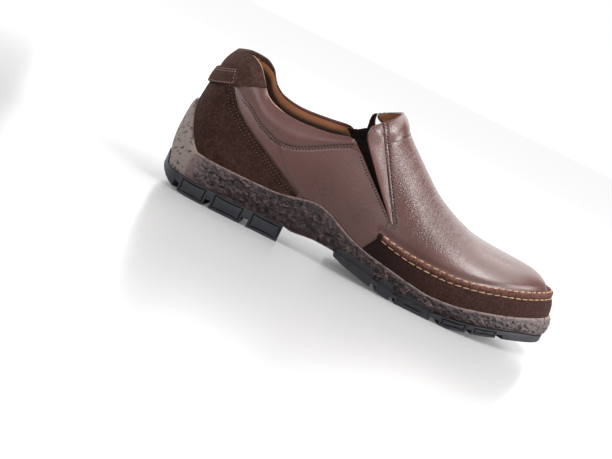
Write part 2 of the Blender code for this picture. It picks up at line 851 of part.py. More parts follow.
tread_pad("outsole_heel", HEEL_LUGS, HEEL_LUG_DEPTH)
tread_pad("outsole_forefoot", FORE_LUGS, FORE_LUG_DEPTH)


def toe_run(back_x):
    """Places on the loop from one side round the toe to the other."""
    half = sole_shares[sole_column(back_x):]
    return np.concatenate((half, LOOP - half[-2::-1]))


def heel_run(inner_x, outer_x):
    """Places on the loop from the inner side round the heel to the outer side."""
    return np.concatenate((-sole_shares[sole_column(inner_x):0:-1], sole_shares[:sole_column(outer_x) + 1]))


# Suede band round the forefoot
band = toe_run(MUDGUARD_BACK)
band_low = girth_at(band, rim_height(band) + FIT_GAP)
band_high = girth_on(band, seam_low)
overlay("mudguard", band[None, :], rows_between(band_low, band_high, BAND_ROWS), FIT_GAP, OVERLAY, suede)

# Moccasin seam standing proud above the band
run = toe_run(SEAM_BACK)
seam_rows = rows_between(girth_on(run, lambda x: seam_low(x) + FIT_GAP), girth_on(run, seam_high), SEAM_ROWS)
bead = SEAM_EDGE + SEAM_PROUD * np.sin(np.linspace(0.0, math.pi, SEAM_ROWS))[:, None]
seam_under = skin(run[None, :], seam_rows, FIT_GAP)
seam_over = skin(run[None, :], seam_rows, FIT_GAP + bead)
slab("apron_seam", seam_under, seam_over, suede)


def patch_line(x):
    return PATCH_BACK_HEIGHT + PATCH_SLOPE * x


def counter_top(x):
    """Upper edge of the counter: under the patch at the back, along its own front edge ahead of it."""
    return np.minimum(patch_line(x) - FIT_GAP, counter_line(x))


# Heel counter
back = heel_run(COUNTER_END, COUNTER_END)
counter_low = girth_at(back, rim_height(back) + FIT_GAP)
counter_high = girth_on(back, counter_top)
counter_rows = rows_between(counter_low, counter_high, COUNTER_ROWS)
overlay("heel_counter", back[None, :], counter_rows, FIT_GAP, OVERLAY, dark_suede)


def patch_end(side):
    """Where the patch has narrowed to its least height under the collar."""
    return float(halve(*PATCH_REACH, lambda x: patch_line(x) + PATCH_LEAST - topline[side](x)))


# Heel patch
patch = heel_run(patch_end(INNER), patch_end(OUTER))
patch_low = girth_on(patch, patch_line)
patch_tops = {side: girth_on(patch, topline[side]) for side in (OUTER, INNER)}
patch_high = np.where(side_of(patch) == OUTER, patch_tops[OUTER], patch_tops[INNER])
patch_rows = rows_between(patch_low, patch_high, PATCH_ROWS)
overlay("heel_patch", patch[None, :], patch_rows, PATCH_GAP, OVERLAY, dark_suede)

# Strap across the back, along the patch's lower edge
loop_end = float(halve(0.0, SIDE_SHARES[0], lambda share: -edge_y(share) - LOOP_FOOT_Y))
strap = np.linspace(-loop_end, loop_end, STRAP_COLUMNS)
strap_low = girth_on(strap, lambda x: patch_line(x) + LOOP_RISE)
strap_high = girth_on(strap, lambda x: patch_line(x) + LOOP_RISE + LOOP_WIDTH)
strap_rows = rows_between(strap_low, strap_high, STRAP_ROWS)
bow = LOOP_BOW * np.cos(np.linspace(-math.pi, math.pi, STRAP_COLUMNS) / 2.0)[None, :]
strap_lift = PATCH_GAP + OVERLAY + FIT_GAP + bow
overlay("heel_loop", strap[None, :], strap_rows, strap_lift, LOOP_THICKNESS, dark_suede)


def gore_place(girth, side):
    """Places across the gore at some girths, from its back margin to its front margin."""
    first = share_on(girth, side, lambda z: gore_back(z) - GORE_MARGIN)
    last = share_on(girth, side, lambda z: vamp_edge[side](z) + GORE_MARGIN)
    return around(first + (last - first) * np.linspace(0.0, 1.0, GORE_COLUMNS), side)


def gore_rows(side):
    """Girth rows of the gore, from below its tip to its sloping top edge."""

    def over(girth):
        point = bare_skin(gore_place(girth, side), girth)
        return point[..., 2] - gore_top[side](point[..., 0])

    low = girth_along(gore_back, side, np.array([GORE_LOW]))
    high = halve(np.full(GORE_COLUMNS, tip_girth), np.full(GORE_COLUMNS, NEAR_SPINE), over)
    return rows_between(low, high, GORE_ROWS)


# Elastic gores behind the wall and leather flaps on their front edges
for side, name in ((OUTER, "outer"), (INNER, "inner")):
    rows = gore_rows(side)
    sunk = -(WALL + GORE_GAP + GORE_THICKNESS)
    overlay("gore_" + name, gore_place(rows, side), rows, sunk, GORE_THICKNESS, elastic)
    theta, girth = vamp_patch(side)
    reach = bare_skin(theta[:, 0], girth[:, 0])[:, 2] < FLAP_HIGH
    reach[:TIP_ROW + 1] = False
    cut = np.ix_(reach, np.arange(FLAP_COLUMNS + 1))
    overlay("flap_" + name, theta[cut], girth[cut], FIT_GAP, OVERLAY, leather)

finished = [made.name for made in bpy.data.objects]
print("pieces:", len(finished), finished)
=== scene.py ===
# %% [markdown]
# # Dressing a slip-on leather shoe
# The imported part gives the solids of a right-foot shoe: upper, suede bands, gores and sole.
# This lesson puts the looks on it: leather pulled over the last, suede, stitches and a rocky rubber sole.
# Every piece is made in the part's own frame, in metres, so nothing has to be fitted afterwards.

# %% Load the part
import math

import bmesh
import bpy
import numpy as np
from mathutils import Matrix, Vector, noise


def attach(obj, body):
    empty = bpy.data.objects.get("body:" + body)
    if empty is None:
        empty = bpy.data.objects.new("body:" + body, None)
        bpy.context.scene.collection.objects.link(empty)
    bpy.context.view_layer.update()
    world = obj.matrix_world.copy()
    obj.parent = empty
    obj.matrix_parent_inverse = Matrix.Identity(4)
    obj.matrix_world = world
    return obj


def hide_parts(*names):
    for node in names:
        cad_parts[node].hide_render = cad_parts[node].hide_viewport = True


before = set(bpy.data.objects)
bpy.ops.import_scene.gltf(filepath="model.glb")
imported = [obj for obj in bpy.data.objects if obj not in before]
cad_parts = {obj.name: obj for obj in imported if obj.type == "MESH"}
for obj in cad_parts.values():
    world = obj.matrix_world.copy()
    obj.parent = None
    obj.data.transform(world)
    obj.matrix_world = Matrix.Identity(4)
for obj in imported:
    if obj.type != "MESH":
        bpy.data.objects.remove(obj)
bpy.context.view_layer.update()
MM = 0.001
print("pieces of the part:", sorted(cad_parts))

# %% [markdown]
# ## Camera
# The photograph shows the shoe from its outer side, a little from above, with the toe low on the right.
# Here the shoe stands level on the floor, so the camera is rolled to keep the same angle to it.
# A camera matrix is easy to read when its three columns are named: right, up and back.

# %% Camera
PICTURE_WIDTH = 612
FOCAL_PIXELS = 1360.0
SENSOR_WIDTH = 36.0
CAMERA_PLACE = Vector((-0.0763, -0.9699, 0.1741))
YAW = math.radians(-2.3)
ELEVATION = math.radians(9.55)
ROLL = math.radians(26.28)

to_camera = Vector((
    math.sin(YAW) * math.cos(ELEVATION),
    -math.cos(YAW) * math.cos(ELEVATION),
    math.sin(ELEVATION),
))
level_right = Vector((math.cos(YAW), math.sin(YAW), 0.0))
level_up = to_camera.cross(level_right)
level_view = Matrix((level_right, level_up, to_camera)).transposed().to_4x4()
camera = bpy.data.objects.new("camera", bpy.data.cameras.new("camera"))
camera.data.sensor_width = SENSOR_WIDTH
camera.data.lens = SENSOR_WIDTH * FOCAL_PIXELS / PICTURE_WIDTH
camera.matrix_world = Matrix.Translation(CAMERA_PLACE) @ level_view @ Matrix.Rotation(ROLL, 4, "Z")
bpy.context.scene.collection.objects.link(camera)
bpy.context.scene.camera = camera
print("lens in millimetres:", round(camera.data.lens, 2))

# %% [markdown]
# ## Shader helpers
# A material is a small graph of nodes. One helper adds a node and fills its inputs by name:
# a number or colour is set on the input, and another node's output is linked to it.
# That keeps each material below as short as its recipe.

# %% Shader helpers
def feed(tree, socket, value):
    """Sets a plain value on an input, or links another node's output to it."""
    if isinstance(value, bpy.types.NodeSocket):
        tree.links.new(value, socket)
    else:
        socket.default_value = value


def fill(tree, node, **inputs):
    """Fills a node's inputs by name; an underscore in a name stands for a space."""
    for name, value in inputs.items():
        feed(tree, node.inputs[name.replace("_", " ")], value)


def add(tree, kind, settings=None, **inputs):
    """A shader node with its settings and inputs."""
    made = tree.nodes.new("ShaderNode" + kind)
    for name, value in (settings or {}).items():
        setattr(made, name, value)
    fill(tree, made, **inputs)
    return made


# %% [markdown]
# ## Small steps between nodes
# Most recipes need the same few steps: mix two colours, add or multiply values, spread a value over a
# range, read a mark from the mesh, or turn a height into a bump. Each is one short function here.

# %% Small steps between nodes
def opaque(colour):
    return (*colour, 1.0)


def mix_colours(tree, share, first, second):
    """Colour between two others; a Mix node's colour inputs are its seventh and eighth."""
    made = add(tree, "Mix", {"data_type": "RGBA"}, Factor=share)
    for slot, value in ((6, first), (7, second)):
        feed(tree, made.inputs[slot], opaque(value) if isinstance(value, tuple) else value)
    return made.outputs[2]


def reckon(tree, operation, first, second):
    """Sum, product or other result of two values."""
    made = add(tree, "Math", {"operation": operation})
    for slot, value in enumerate((first, second)):
        feed(tree, made.inputs[slot], value)
    return made.outputs[0]


def ramp(tree, value, start, end, top=1.0):
    """Rises from 0 to its top while a value goes from the start to the end."""
    return add(tree, "MapRange", Value=value, From_Min=start, From_Max=end, To_Max=top).outputs[0]


def spread(tree, value, low, high):
    """A value between 0 and 1 spread over another range."""
    return add(tree, "MapRange", Value=value, To_Min=low, To_Max=high).outputs[0]


def mark(tree, name):
    """A mark that the mesh carries on its vertices."""
    return add(tree, "Attribute", {"attribute_name": name}).outputs["Fac"]


def bump(tree, strength, distance, height):
    """Normal of a surface that a height roughens."""
    return add(tree, "Bump", Strength=strength, Distance=distance, Height=height).outputs[0]


# %% [markdown]
# ## Groups and finishes
# An effect that several finishes share is a node group, made once and used many times.
# A finish is a material whose textures read the piece's own coordinates, so that the pattern stays
# on the piece wherever the piece is put.

# %% Groups and finishes
def new_group(name, inputs, outputs):
    """An empty node group with named sockets, and the nodes that stand for them."""
    group = bpy.data.node_groups.new(name, "ShaderNodeTree")
    for sockets, way in ((inputs, "INPUT"), (outputs, "OUTPUT")):
        for socket, kind in sockets:
            group.interface.new_socket(socket, in_out=way, socket_type="NodeSocket" + kind)
    return group, group.nodes.new("NodeGroupInput").outputs, group.nodes.new("NodeGroupOutput").inputs


def use_group(tree, group, **inputs):
    return add(tree, "Group", {"node_tree": group}, **inputs).outputs


def new_finish(name):
    """A material with its node tree, its shader and the piece's own coordinates."""
    made = bpy.data.materials.new(name)
    made.use_nodes = True
    tree = made.node_tree
    return made, tree, tree.nodes["Principled BSDF"], add(tree, "TexCoord").outputs["Object"]


# %% [markdown]
# ## Shared effects
# Three effects come back in many finishes, so each is a node group: cloudy colour, pebbled grain, fine
# fuzz. Scales count repeats in a metre, because the coordinates are metres: 900 gives cells of about 1
# mm.

# %% Shared effects
PEBBLE_WARP = 0.0009
PEBBLE_EDGE = 0.32
SOFT = {"interpolation_type": "SMOOTHSTEP"}
WHERE = [("Vector", "Vector"), ("Scale", "Float")]

cloudy, given, result = new_group(
    "cloudy colour",
    WHERE + [("Dark", "Color"), ("Light", "Color")],
    [("Colour", "Color"), ("Share", "Float")],
)
clouds = add(cloudy, "TexNoise", Vector=given["Vector"], Scale=given["Scale"], Detail=5.0, Roughness=0.62)
cloud_share = ramp(cloudy, clouds.outputs[0], 0.3, 0.7)
cloudy.links.new(mix_colours(cloudy, cloud_share, given["Dark"], given["Light"]), result["Colour"])
cloudy.links.new(cloud_share, result["Share"])

pebbled, given, result = new_group("pebbled grain", WHERE, [("Height", "Float")])
warp = add(pebbled, "TexNoise", Vector=given["Vector"], Scale=given["Scale"], Detail=2.0)
moved = add(pebbled, "VectorMath", {"operation": "MULTIPLY_ADD"})
for slot, value in enumerate((warp.outputs["Color"], (PEBBLE_WARP,) * 3, given["Vector"])):
    feed(pebbled, moved.inputs[slot], value)
to_edge = {"feature": "DISTANCE_TO_EDGE"}
cells = add(pebbled, "TexVoronoi", to_edge, Vector=moved.outputs[0], Scale=given["Scale"])
pebble = add(pebbled, "MapRange", SOFT, Value=cells.outputs[0], From_Max=PEBBLE_EDGE)
pebbled.links.new(pebble.outputs[0], result["Height"])

fuzzy, given, result = new_group("fine fuzz", WHERE, [("Height", "Float"), ("Speck", "Float")])
fibres = add(fuzzy, "TexNoise", Vector=given["Vector"], Scale=given["Scale"], Detail=6.0, Roughness=0.75)
fuzzy.links.new(fibres.outputs[0], result["Height"])
fuzzy.links.new(ramp(fuzzy, fibres.outputs[0], 0.35, 0.65), result["Speck"])
print("shared effects:", [group.name for group in bpy.data.node_groups])

# %% [markdown]
# ## Smooth leather
# The upper is brown full-grain leather: a cloudy colour, a fine pebbled grain and a soft sheen.
# Where the foot bends the grain breaks into short wrinkles; the mesh carries a mark called flex there.
# Another mark called seam darkens the leather in its stitched grooves; it also carries painted shade low
# down near the sole, and a darker band beside the moccasin lip.

# %% Smooth leather
def leather_finish():
    made, tree, shader, place = new_finish("brown leather")
    flex, seam = mark(tree, "flex"), mark(tree, "seam")
    dark, light = opaque((0.102, 0.041, 0.0345)), opaque((0.131, 0.055, 0.0465))
    tone = use_group(tree, cloudy, Vector=place, Scale=26.0, Dark=dark, Light=light)
    grain = use_group(tree, pebbled, Vector=place, Scale=620.0)["Height"]
    pores = use_group(tree, fuzzy, Vector=place, Scale=700.0)
    specks = spread(tree, pores["Speck"], 0.0, 0.2)
    mottled = mix_colours(tree, specks, tone["Colour"], (0.055, 0.018, 0.014))
    broken = reckon(tree, "MULTIPLY", spread(tree, grain, 0.4, 0.0), flex)
    grained = mix_colours(tree, broken, mottled, (0.04, 0.012, 0.01))
    # The seam mark darkens stitched grooves and paints shade low on the upper.
    shaded = mix_colours(tree, seam, grained, (0.03, 0.008, 0.006))
    lean, stretch = (0.0, -0.42, 0.0), (480.0, 110.0, 85.0)
    turned = add(tree, "Mapping", Vector=place, Rotation=lean, Scale=stretch).outputs[0]
    folds = add(tree, "TexNoise", Vector=turned, Scale=1.0, Detail=3.0, Roughness=0.55).outputs[0]
    wrinkle = reckon(tree, "MULTIPLY", spread(tree, folds, -1.0, 1.0), flex)
    coarse = reckon(tree, "MULTIPLY", grain, 0.55)
    fine = reckon(tree, "MULTIPLY", pores["Height"], 0.4)
    rough = reckon(tree, "ADD", coarse, fine)
    height = reckon(tree, "ADD", rough, reckon(tree, "MULTIPLY", wrinkle, 1.7))
    normal = bump(tree, spread(tree, flex, 0.12, 0.5), 0.00045, height)
    gloss = spread(tree, tone["Share"], 0.26, 0.33)
    fill(tree, shader, Base_Color=shaded, Roughness=gloss, Normal=normal)
    fill(tree, shader, Coat_Weight=0.1, Coat_Roughness=0.24, Specular_IOR_Level=0.58)
    return made


leather = leather_finish()
print("made", leather.name)

# %% [markdown]
# ## Suede
# Suede is leather with its fibres brushed up. It is matt and mottled, and its fuzz lights up at
# glancing angles. The Principled shader's sheen does that last part, and a very fine noise bump breaks
# up the surface.

# %% Suede
def suede_finish(name, dark, light, sheen):
    made, tree, shader, place = new_finish(name)
    tone = use_group(tree, cloudy, Vector=place, Scale=130.0, Dark=opaque(dark), Light=opaque(light))
    fuzz = use_group(tree, fuzzy, Vector=place, Scale=560.0)
    shade = tuple(0.25 * part for part in dark)
    speckled = mix_colours(tree, spread(tree, fuzz["Speck"], 0.0, 0.9), tone["Colour"], shade)
    # The seam mark darkens stitched grooves, and on the band and the lip it carries painted shade.
    sewn = mix_colours(tree, mark(tree, "seam"), speckled, shade)
    normal = bump(tree, 1.0, 0.0009, fuzz["Height"])
    fill(tree, shader, Base_Color=sewn, Roughness=0.95, Normal=normal, Specular_IOR_Level=0.2)
    fill(tree, shader, Sheen_Weight=sheen, Sheen_Roughness=0.45, Sheen_Tint=(0.55, 0.4, 0.34, 1))
    return made


band_suede = suede_finish("chocolate suede", (0.04, 0.0155, 0.0122), (0.07, 0.0275, 0.0215), 0.08)
heel_suede = suede_finish("dark suede", (0.035, 0.0135, 0.0095), (0.08, 0.036, 0.027), 0.08)
patch_suede = suede_finish("brushed patch suede", (0.066, 0.03, 0.023), (0.12, 0.06, 0.048), 0.14)
lip_suede = suede_finish("raw lip leather", (0.16, 0.064, 0.05), (0.3, 0.135, 0.107), 0.1)
print("made", band_suede.name, heel_suede.name, patch_suede.name, lip_suede.name)

# %% [markdown]
# ## Lining, elastic and threads
# The inside is tan lining leather with a finer grain, and its cut edge is a lighter line at the collar.
# A mark called deep darkens the lining far inside: painted shade where little light comes.
# The gores are black elastic, and the threads are waxed, so they catch a little light.

# %% Lining, elastic and threads
def plain_finish(name, dark, light, cloud_scale, grain_scale, depth, roughness, specular=0.5):
    made, tree, shader, place = new_finish(name)
    tone = use_group(tree, cloudy, Vector=place, Scale=cloud_scale, Dark=opaque(dark), Light=opaque(light))
    grain = use_group(tree, fuzzy, Vector=place, Scale=grain_scale)["Height"]
    gloss = spread(tree, tone["Share"], roughness - 0.06, roughness + 0.06)
    fill(tree, shader, Base_Color=tone["Colour"], Roughness=gloss, Normal=bump(tree, 0.5, depth, grain))
    fill(tree, shader, Specular_IOR_Level=specular)
    return made


def thread_finish(name, dark, light):
    return plain_finish(name, dark, light, 260.0, 2200.0, 0.0002, 0.8, 0.25)


def lining_finish():
    made, tree, shader, place = new_finish("tan lining")
    dark, light = opaque((0.35, 0.13, 0.052)), opaque((0.47, 0.19, 0.084))
    tone = use_group(tree, cloudy, Vector=place, Scale=40.0, Dark=dark, Light=light)
    # Painted shade: the deep mark darkens the lining far inside the shoe.
    painted_inside_shade = mix_colours(tree, mark(tree, "deep"), tone["Colour"], (0.022, 0.006, 0.0025))
    grain = use_group(tree, fuzzy, Vector=place, Scale=900.0)["Height"]
    fill(tree, shader, Base_Color=painted_inside_shade, Roughness=0.6, Normal=bump(tree, 0.5, 0.0003, grain))
    return made


lining = lining_finish()
footbed_leather = plain_finish(
    "tan footbed", (0.16, 0.066, 0.03), (0.22, 0.1, 0.05), 40.0, 900.0, 0.0003, 0.6,
)
lining_edge = plain_finish(
    "cut lining edge", (0.4, 0.2, 0.1), (0.5, 0.27, 0.15), 150.0, 900.0, 0.0002, 0.7,
)
elastic = plain_finish(
    "black elastic", (0.006, 0.003, 0.003), (0.012, 0.007, 0.007), 300.0, 1500.0, 0.0002, 0.9, 0.15,
)
tan_thread = thread_finish("tan thread", (0.3, 0.165, 0.085), (0.56, 0.37, 0.235))
dark_thread = thread_finish("dark thread", (0.012, 0.003, 0.0025), (0.028, 0.008, 0.006))
brown_thread = thread_finish("brown thread", (0.06, 0.034, 0.025), (0.115, 0.068, 0.05))
rose_thread = thread_finish("rose brown thread", (0.2, 0.125, 0.105), (0.33, 0.22, 0.19))
print("made", lining.name, elastic.name, tan_thread.name)

# %% [markdown]
# ## Rubber
# The wall of the sole is moulded like rock. The mesh carries a mark called relief, high on the lumps
# and low in the cracks; the colour paints shade into the cracks and a pale highlight onto the crests.
# Where relief is at its highest the rubber is the smooth bumper behind the heel, with painted shade in
# its small dents. The toe and heel ends are painted lighter, for light that falls on them from the side.
# The tread below is a darker, bluer rubber.

# %% Rubber
def wall_finish():
    made, tree, shader, place = new_finish("rocky sole rubber")
    relief = mark(tree, "relief")
    dark, light = opaque((0.019, 0.0088, 0.0093)), opaque((0.047, 0.0235, 0.0245))
    tone = use_group(tree, cloudy, Vector=place, Scale=420.0, Dark=dark, Light=light)
    along = add(tree, "SeparateXYZ", Vector=place).outputs["X"]
    # Painted light: the toe and heel ends of the wall are lighter, as if lit from the side.
    at_toe = ramp(tree, along, 0.08, 0.148, 0.7)
    at_heel = ramp(tree, along, -0.095, -0.13, 0.5)
    lit_ends = reckon(tree, "MAXIMUM", at_toe, at_heel)
    painted_lit_ends = mix_colours(tree, lit_ends, tone["Colour"], (0.23, 0.182, 0.177))
    # Painted highlight on the crests, and painted shade in the cracks.
    crest_highlight_share = ramp(tree, relief, 0.6, 0.85, 0.7)
    painted_crest_highlight = mix_colours(tree, crest_highlight_share, painted_lit_ends, (0.165, 0.1, 0.1))
    out_of_crack_shade = ramp(tree, relief, 0.25, 0.62)
    painted_crack_shade = mix_colours(tree, out_of_crack_shade, (0.004, 0.002, 0.002), painted_crest_highlight)
    dents = add(tree, "TexNoise", Vector=place, Scale=330.0, Detail=2.0).outputs[0]
    dent = ramp(tree, dents, 0.56, 0.66, 0.85)
    # Painted shade in the bumper's small dents.
    painted_dent_shade = mix_colours(tree, dent, (0.255, 0.203, 0.184), (0.05, 0.037, 0.034))
    smooth = ramp(tree, relief, 0.86, 1.0)
    painted_light_and_shade = mix_colours(tree, smooth, painted_crack_shade, painted_dent_shade)
    grit = use_group(tree, fuzzy, Vector=place, Scale=420.0)["Height"]
    height = reckon(tree, "SUBTRACT", grit, reckon(tree, "MULTIPLY", dent, smooth))
    matt = spread(tree, smooth, 0.3, 0.6)
    fill(tree, shader, Base_Color=painted_light_and_shade, Roughness=matt, Normal=bump(tree, 0.9, 0.0012, height))
    fill(tree, shader, Specular_IOR_Level=0.36)
    return made


wall_rubber = wall_finish()
tread_rubber = plain_finish(
    "dark tread rubber", (0.0155, 0.0155, 0.02), (0.03, 0.03, 0.038), 90.0, 600.0, 0.0003, 0.5, 0.36,
)
print("made", wall_rubber.name, tread_rubber.name)

# %% [markdown]
# ## Tables of the last
# A shoe is built over a last, a form like the inside of a foot. Two short tables describe it:
# ribs that leave the edge of the sole, and the spine along the top that they reach.
# Sizes are millimetres: x from the back of the heel, y from the middle of the heel, z from the floor.

# %% Tables of the last
OUTER = -1
INNER = 1
SHOE_LENGTH = 304.0
SKIN_INSET = 4.6
FIT_GAP = 0.3
SEAT_GAP = 0.4
SPINE_SHIFT = 4.0
SPINE_SHIFT_START = 140.0
SPINE_SHIFT_RUN = 100.0

# Columns: x at the edge of the sole, outer y, inner y, x at the spine
RIBS = (
    (0.0, 0.0, 0.0, 36.0),
    (4.8, 18.0, 18.0, 37.0),
    (18.0, 31.5, 31.0, 39.5),
    (38.0, 37.0, 35.5, 46.0),
    (70.0, 39.0, 36.0, 72.0),
    (108.0, 40.5, 33.5, 108.0),
    (142.0, 46.0, 37.0, 141.0),
    (176.0, 53.5, 46.0, 173.0),
    (208.0, 56.5, 52.0, 202.0),
    (238.0, 54.0, 53.5, 227.0),
    (264.0, 45.5, 48.0, 245.0),
    (285.5, 32.0, 37.5, 256.0),
    (300.0, 14.5, 22.0, 261.5),
    (SHOE_LENGTH, -4.0, 4.0, 264.0),
)

# Columns: x, height of the spine, fullness of the section (2 is an ellipse)
SPINE = (
    (36.0, 120.0, 2.55),
    (46.0, 124.5, 2.6),
    (72.0, 131.0, 2.6),
    (108.0, 132.0, 2.5),
    (124.0, 127.5, 2.4),
    (141.0, 117.0, 2.3),
    (152.0, 105.8, 2.2),
    (164.0, 95.8, 2.15),
    (177.0, 85.5, 2.15),
    (190.0, 75.8, 2.2),
    (202.0, 69.3, 2.25),
    (214.0, 64.2, 2.3),
    (227.0, 60.2, 2.4),
    (245.0, 58.6, 2.45),
    (264.0, 58.0, 2.5),
)
print("the last has", len(RIBS), "ribs and", len(SPINE), "places along its spine")

# %% [markdown]
# ## Table of the sole
# The sole unit has a rim that rises to a hump at the waist and again towards the toe.
# Its pocket holds the upper, and its underside lifts off the floor under the waist and the toe.

# %% Table of the sole
# Columns: x, top of the sole's rim, floor of its pocket, its underside
SOLE = (
    (0.0, 33.0, 24.0, 12.2),
    (40.0, 30.3, 23.0, 12.2),
    (80.0, 31.0, 23.0, 12.4),
    (94.0, 33.2, 22.4, 12.4),
    (104.0, 35.6, 21.8, 10.8),
    (113.0, 36.7, 21.2, 11.8),
    (122.0, 35.0, 20.3, 12.7),
    (133.0, 30.3, 19.0, 12.5),
    (143.0, 26.2, 17.5, 11.7),
    (160.0, 21.9, 15.2, 10.0),
    (177.0, 19.4, 13.3, 7.4),
    (193.0, 17.0, 11.8, 5.5),
    (209.0, 15.4, 11.4, 5.6),
    (225.0, 16.3, 11.9, 7.4),
    (246.0, 20.0, 14.4, 9.8),
    (263.0, 23.4, 17.4, 13.0),
    (283.0, 28.0, 21.2, 16.6),
    (SHOE_LENGTH, 32.6, 24.6, 18.0),
)
print("the sole has", len(SOLE), "places along it")

# %% [markdown]
# ## Tables of the pattern pieces
# The edges and seams of the upper are drawn in side view, as a pattern cutter would mark them on the
# last. Lines that run along the shoe give a height for each x; lines that run up it give an x for each
# height.

# %% Tables of the pattern pieces
# Columns: x, height on the outer side, height on the inner side
TOPLINE = (
    (13.0, 105.2, 105.2),
    (26.0, 107.3, 107.9),
    (35.0, 104.0, 107.2),
    (43.0, 95.5, 103.0),
    (50.0, 87.5, 94.0),
    (60.0, 83.2, 88.0),
    (75.0, 81.5, 86.2),
    (95.0, 83.0, 88.0),
    (116.0, 88.0, 91.5),
)

# Columns: x, height
COLLAR_SEAM = (
    (29.0, 85.0), (41.0, 76.5), (53.0, 68.3), (62.0, 64.6), (71.0, 62.5), (79.0, 63.8),
    (91.0, 69.0), (103.0, 76.0), (116.0, 83.0),
)
COUNTER = (
    (25.5, 82.6), (33.0, 73.2), (43.0, 65.4), (53.5, 59.1), (64.0, 53.7), (74.0, 48.3),
    (84.5, 42.9), (96.0, 37.0),
)
HEEL_STRIP = ((69.7, 62.5), (81.3, 49.8), (93.9, 40.7), (106.0, 33.5))
print("collar seam from", COLLAR_SEAM[0], "to", COLLAR_SEAM[-1])

# %% [markdown]
# ## Patterns of the vamp and the gores
# The moccasin seam runs round the toes. The gore is a V between the quarter and the vamp,
# the seam of the flap runs beside it, and the throat is the edge of the opening above it.

# %% Patterns of the vamp and the gores
# Columns: x, height of the seam's lower edge, height of its upper edge
SEAM = (
    (158.0, 35.6, 40.4),
    (177.0, 31.3, 37.2),
    (192.0, 29.6, 35.9),
    (210.0, 29.0, 35.3),
    (225.0, 30.0, 35.8),
    (240.0, 32.2, 38.0),
    (255.0, 35.2, 41.2),
    (270.0, 38.3, 44.6),
    (285.0, 42.0, 48.2),
    (300.0, 45.2, 51.2),
)

# Columns: height, x of the quarter's edge, x of the vamp's edge
GORE_TIP = 47.5
GORE_EDGES = (
    (GORE_TIP, 164.0, 164.0),
    (53.0, 157.3, 158.8),
    (60.0, 149.0, 152.0),
    (70.0, 137.0, 142.8),
    (80.0, 125.3, 134.0),
    (88.0, 115.2, 127.0),
    (93.0, 109.0, 123.8),
)

# Columns: height, x
FLAP_SEAM = ((GORE_TIP, 166.5), (53.0, 163.0), (70.0, 152.0), (88.0, 140.8), (106.0, 129.4))
THROAT = ((95.0, 123.3), (101.0, 124.2), (105.0, 128.2), (111.0, 135.4), (117.0, 141.0))
INNER_THROAT = (
    (97.0, 122.8), (104.0, 123.0), (107.3, 125.2), (109.4, 128.7), (113.2, 135.2),
    (117.0, 141.0),
)

# Columns: x, height on the outer side, height on the inner side
GORE_TOPS = (
    (104.0, 83.6, 87.2),
    (114.0, 87.3, 89.4),
    (124.0, 90.8, 95.6),
    (130.0, 92.6, 97.4),
)
print("gore from height", GORE_EDGES[0][0], "to", GORE_EDGES[-1][0])

# %% [markdown]
# ## Smooth lines through the tables
# Two kinds of curve are enough. A monotone cubic never overshoots its points, so it suits edges and
# seams. A closed cubic spline has even curvature, so it suits the outline of the sole.

# %% Smooth lines
def smooth_line(rows, column):
    """Monotone cubic through one column of a table whose first column rises."""
    knots = np.array([row[0] for row in rows])
    values = np.array([row[column] for row in rows])
    step = np.diff(knots)
    slope = np.diff(values) / step
    tangent = np.zeros_like(knots)
    tangent[0] = slope[0]
    tangent[-1] = slope[-1]
    for i in range(1, len(knots) - 1):
        if slope[i - 1] * slope[i] > 0.0:
            before = 2.0 * step[i] + step[i - 1]
            after = step[i] + 2.0 * step[i - 1]
            tangent[i] = (before + after) / (before / slope[i - 1] + after / slope[i])

    def value(x):
        x = np.clip(np.asarray(x, float), knots[0], knots[-1])
        i = np.clip(np.searchsorted(knots, x) - 1, 0, len(step) - 1)
        s = (x - knots[i]) / step[i]
        start = (1.0 + 2.0 * s) * (1.0 - s) ** 2 * values[i] + s * (1.0 - s) ** 2 * step[i] * tangent[i]
        end = s * s * (3.0 - 2.0 * s) * values[i + 1] + s * s * (s - 1.0) * step[i] * tangent[i + 1]
        return start + end

    return value


# %% [markdown]
# ## A closed line
# The outline of the sole closes on itself, so its spline has no ends. A small system of equations gives
# the curvature at all knots at once, and after the last knot the line leads back to the first.

# %% A closed line
def closed_spline(knots, values, period):
    """Cubic spline with even curvature through values that repeat after a period."""
    count = len(knots)
    step = np.diff(np.append(knots, knots[0] + period))
    slope = np.diff(np.append(values, values[0])) / step
    system = np.zeros((count, count))
    for i in range(count):
        system[i, i - 1] += step[i - 1]
        system[i, i] += 2.0 * (step[i - 1] + step[i])
        system[i, (i + 1) % count] += step[i]
    bend = np.linalg.solve(system, 6.0 * (slope - np.roll(slope, 1)))

    def value(theta):
        theta = np.mod(np.asarray(theta, float) - knots[0], period) + knots[0]
        i = np.clip(np.searchsorted(knots, theta, side="right") - 1, 0, count - 1)
        j = (i + 1) % count
        s = theta - knots[i]
        first = slope[i] - step[i] * (2.0 * bend[i] + bend[j]) / 6.0
        return values[i] + s * (first + s * (bend[i] / 2.0 + s * (bend[j] - bend[i]) / (6.0 * step[i])))

    return value


# %% [markdown]
# ## Lines of the shoe
# Now each table becomes a line. Lines along the shoe are read at an x, lines up the shoe at a height.
# The smooth step blends from 0 to 1 with soft ends, and most shapes below use it.

# %% Lines of the shoe
def smooth_step(share):
    share = np.clip(share, 0.0, 1.0)
    return share * share * (3.0 - 2.0 * share)


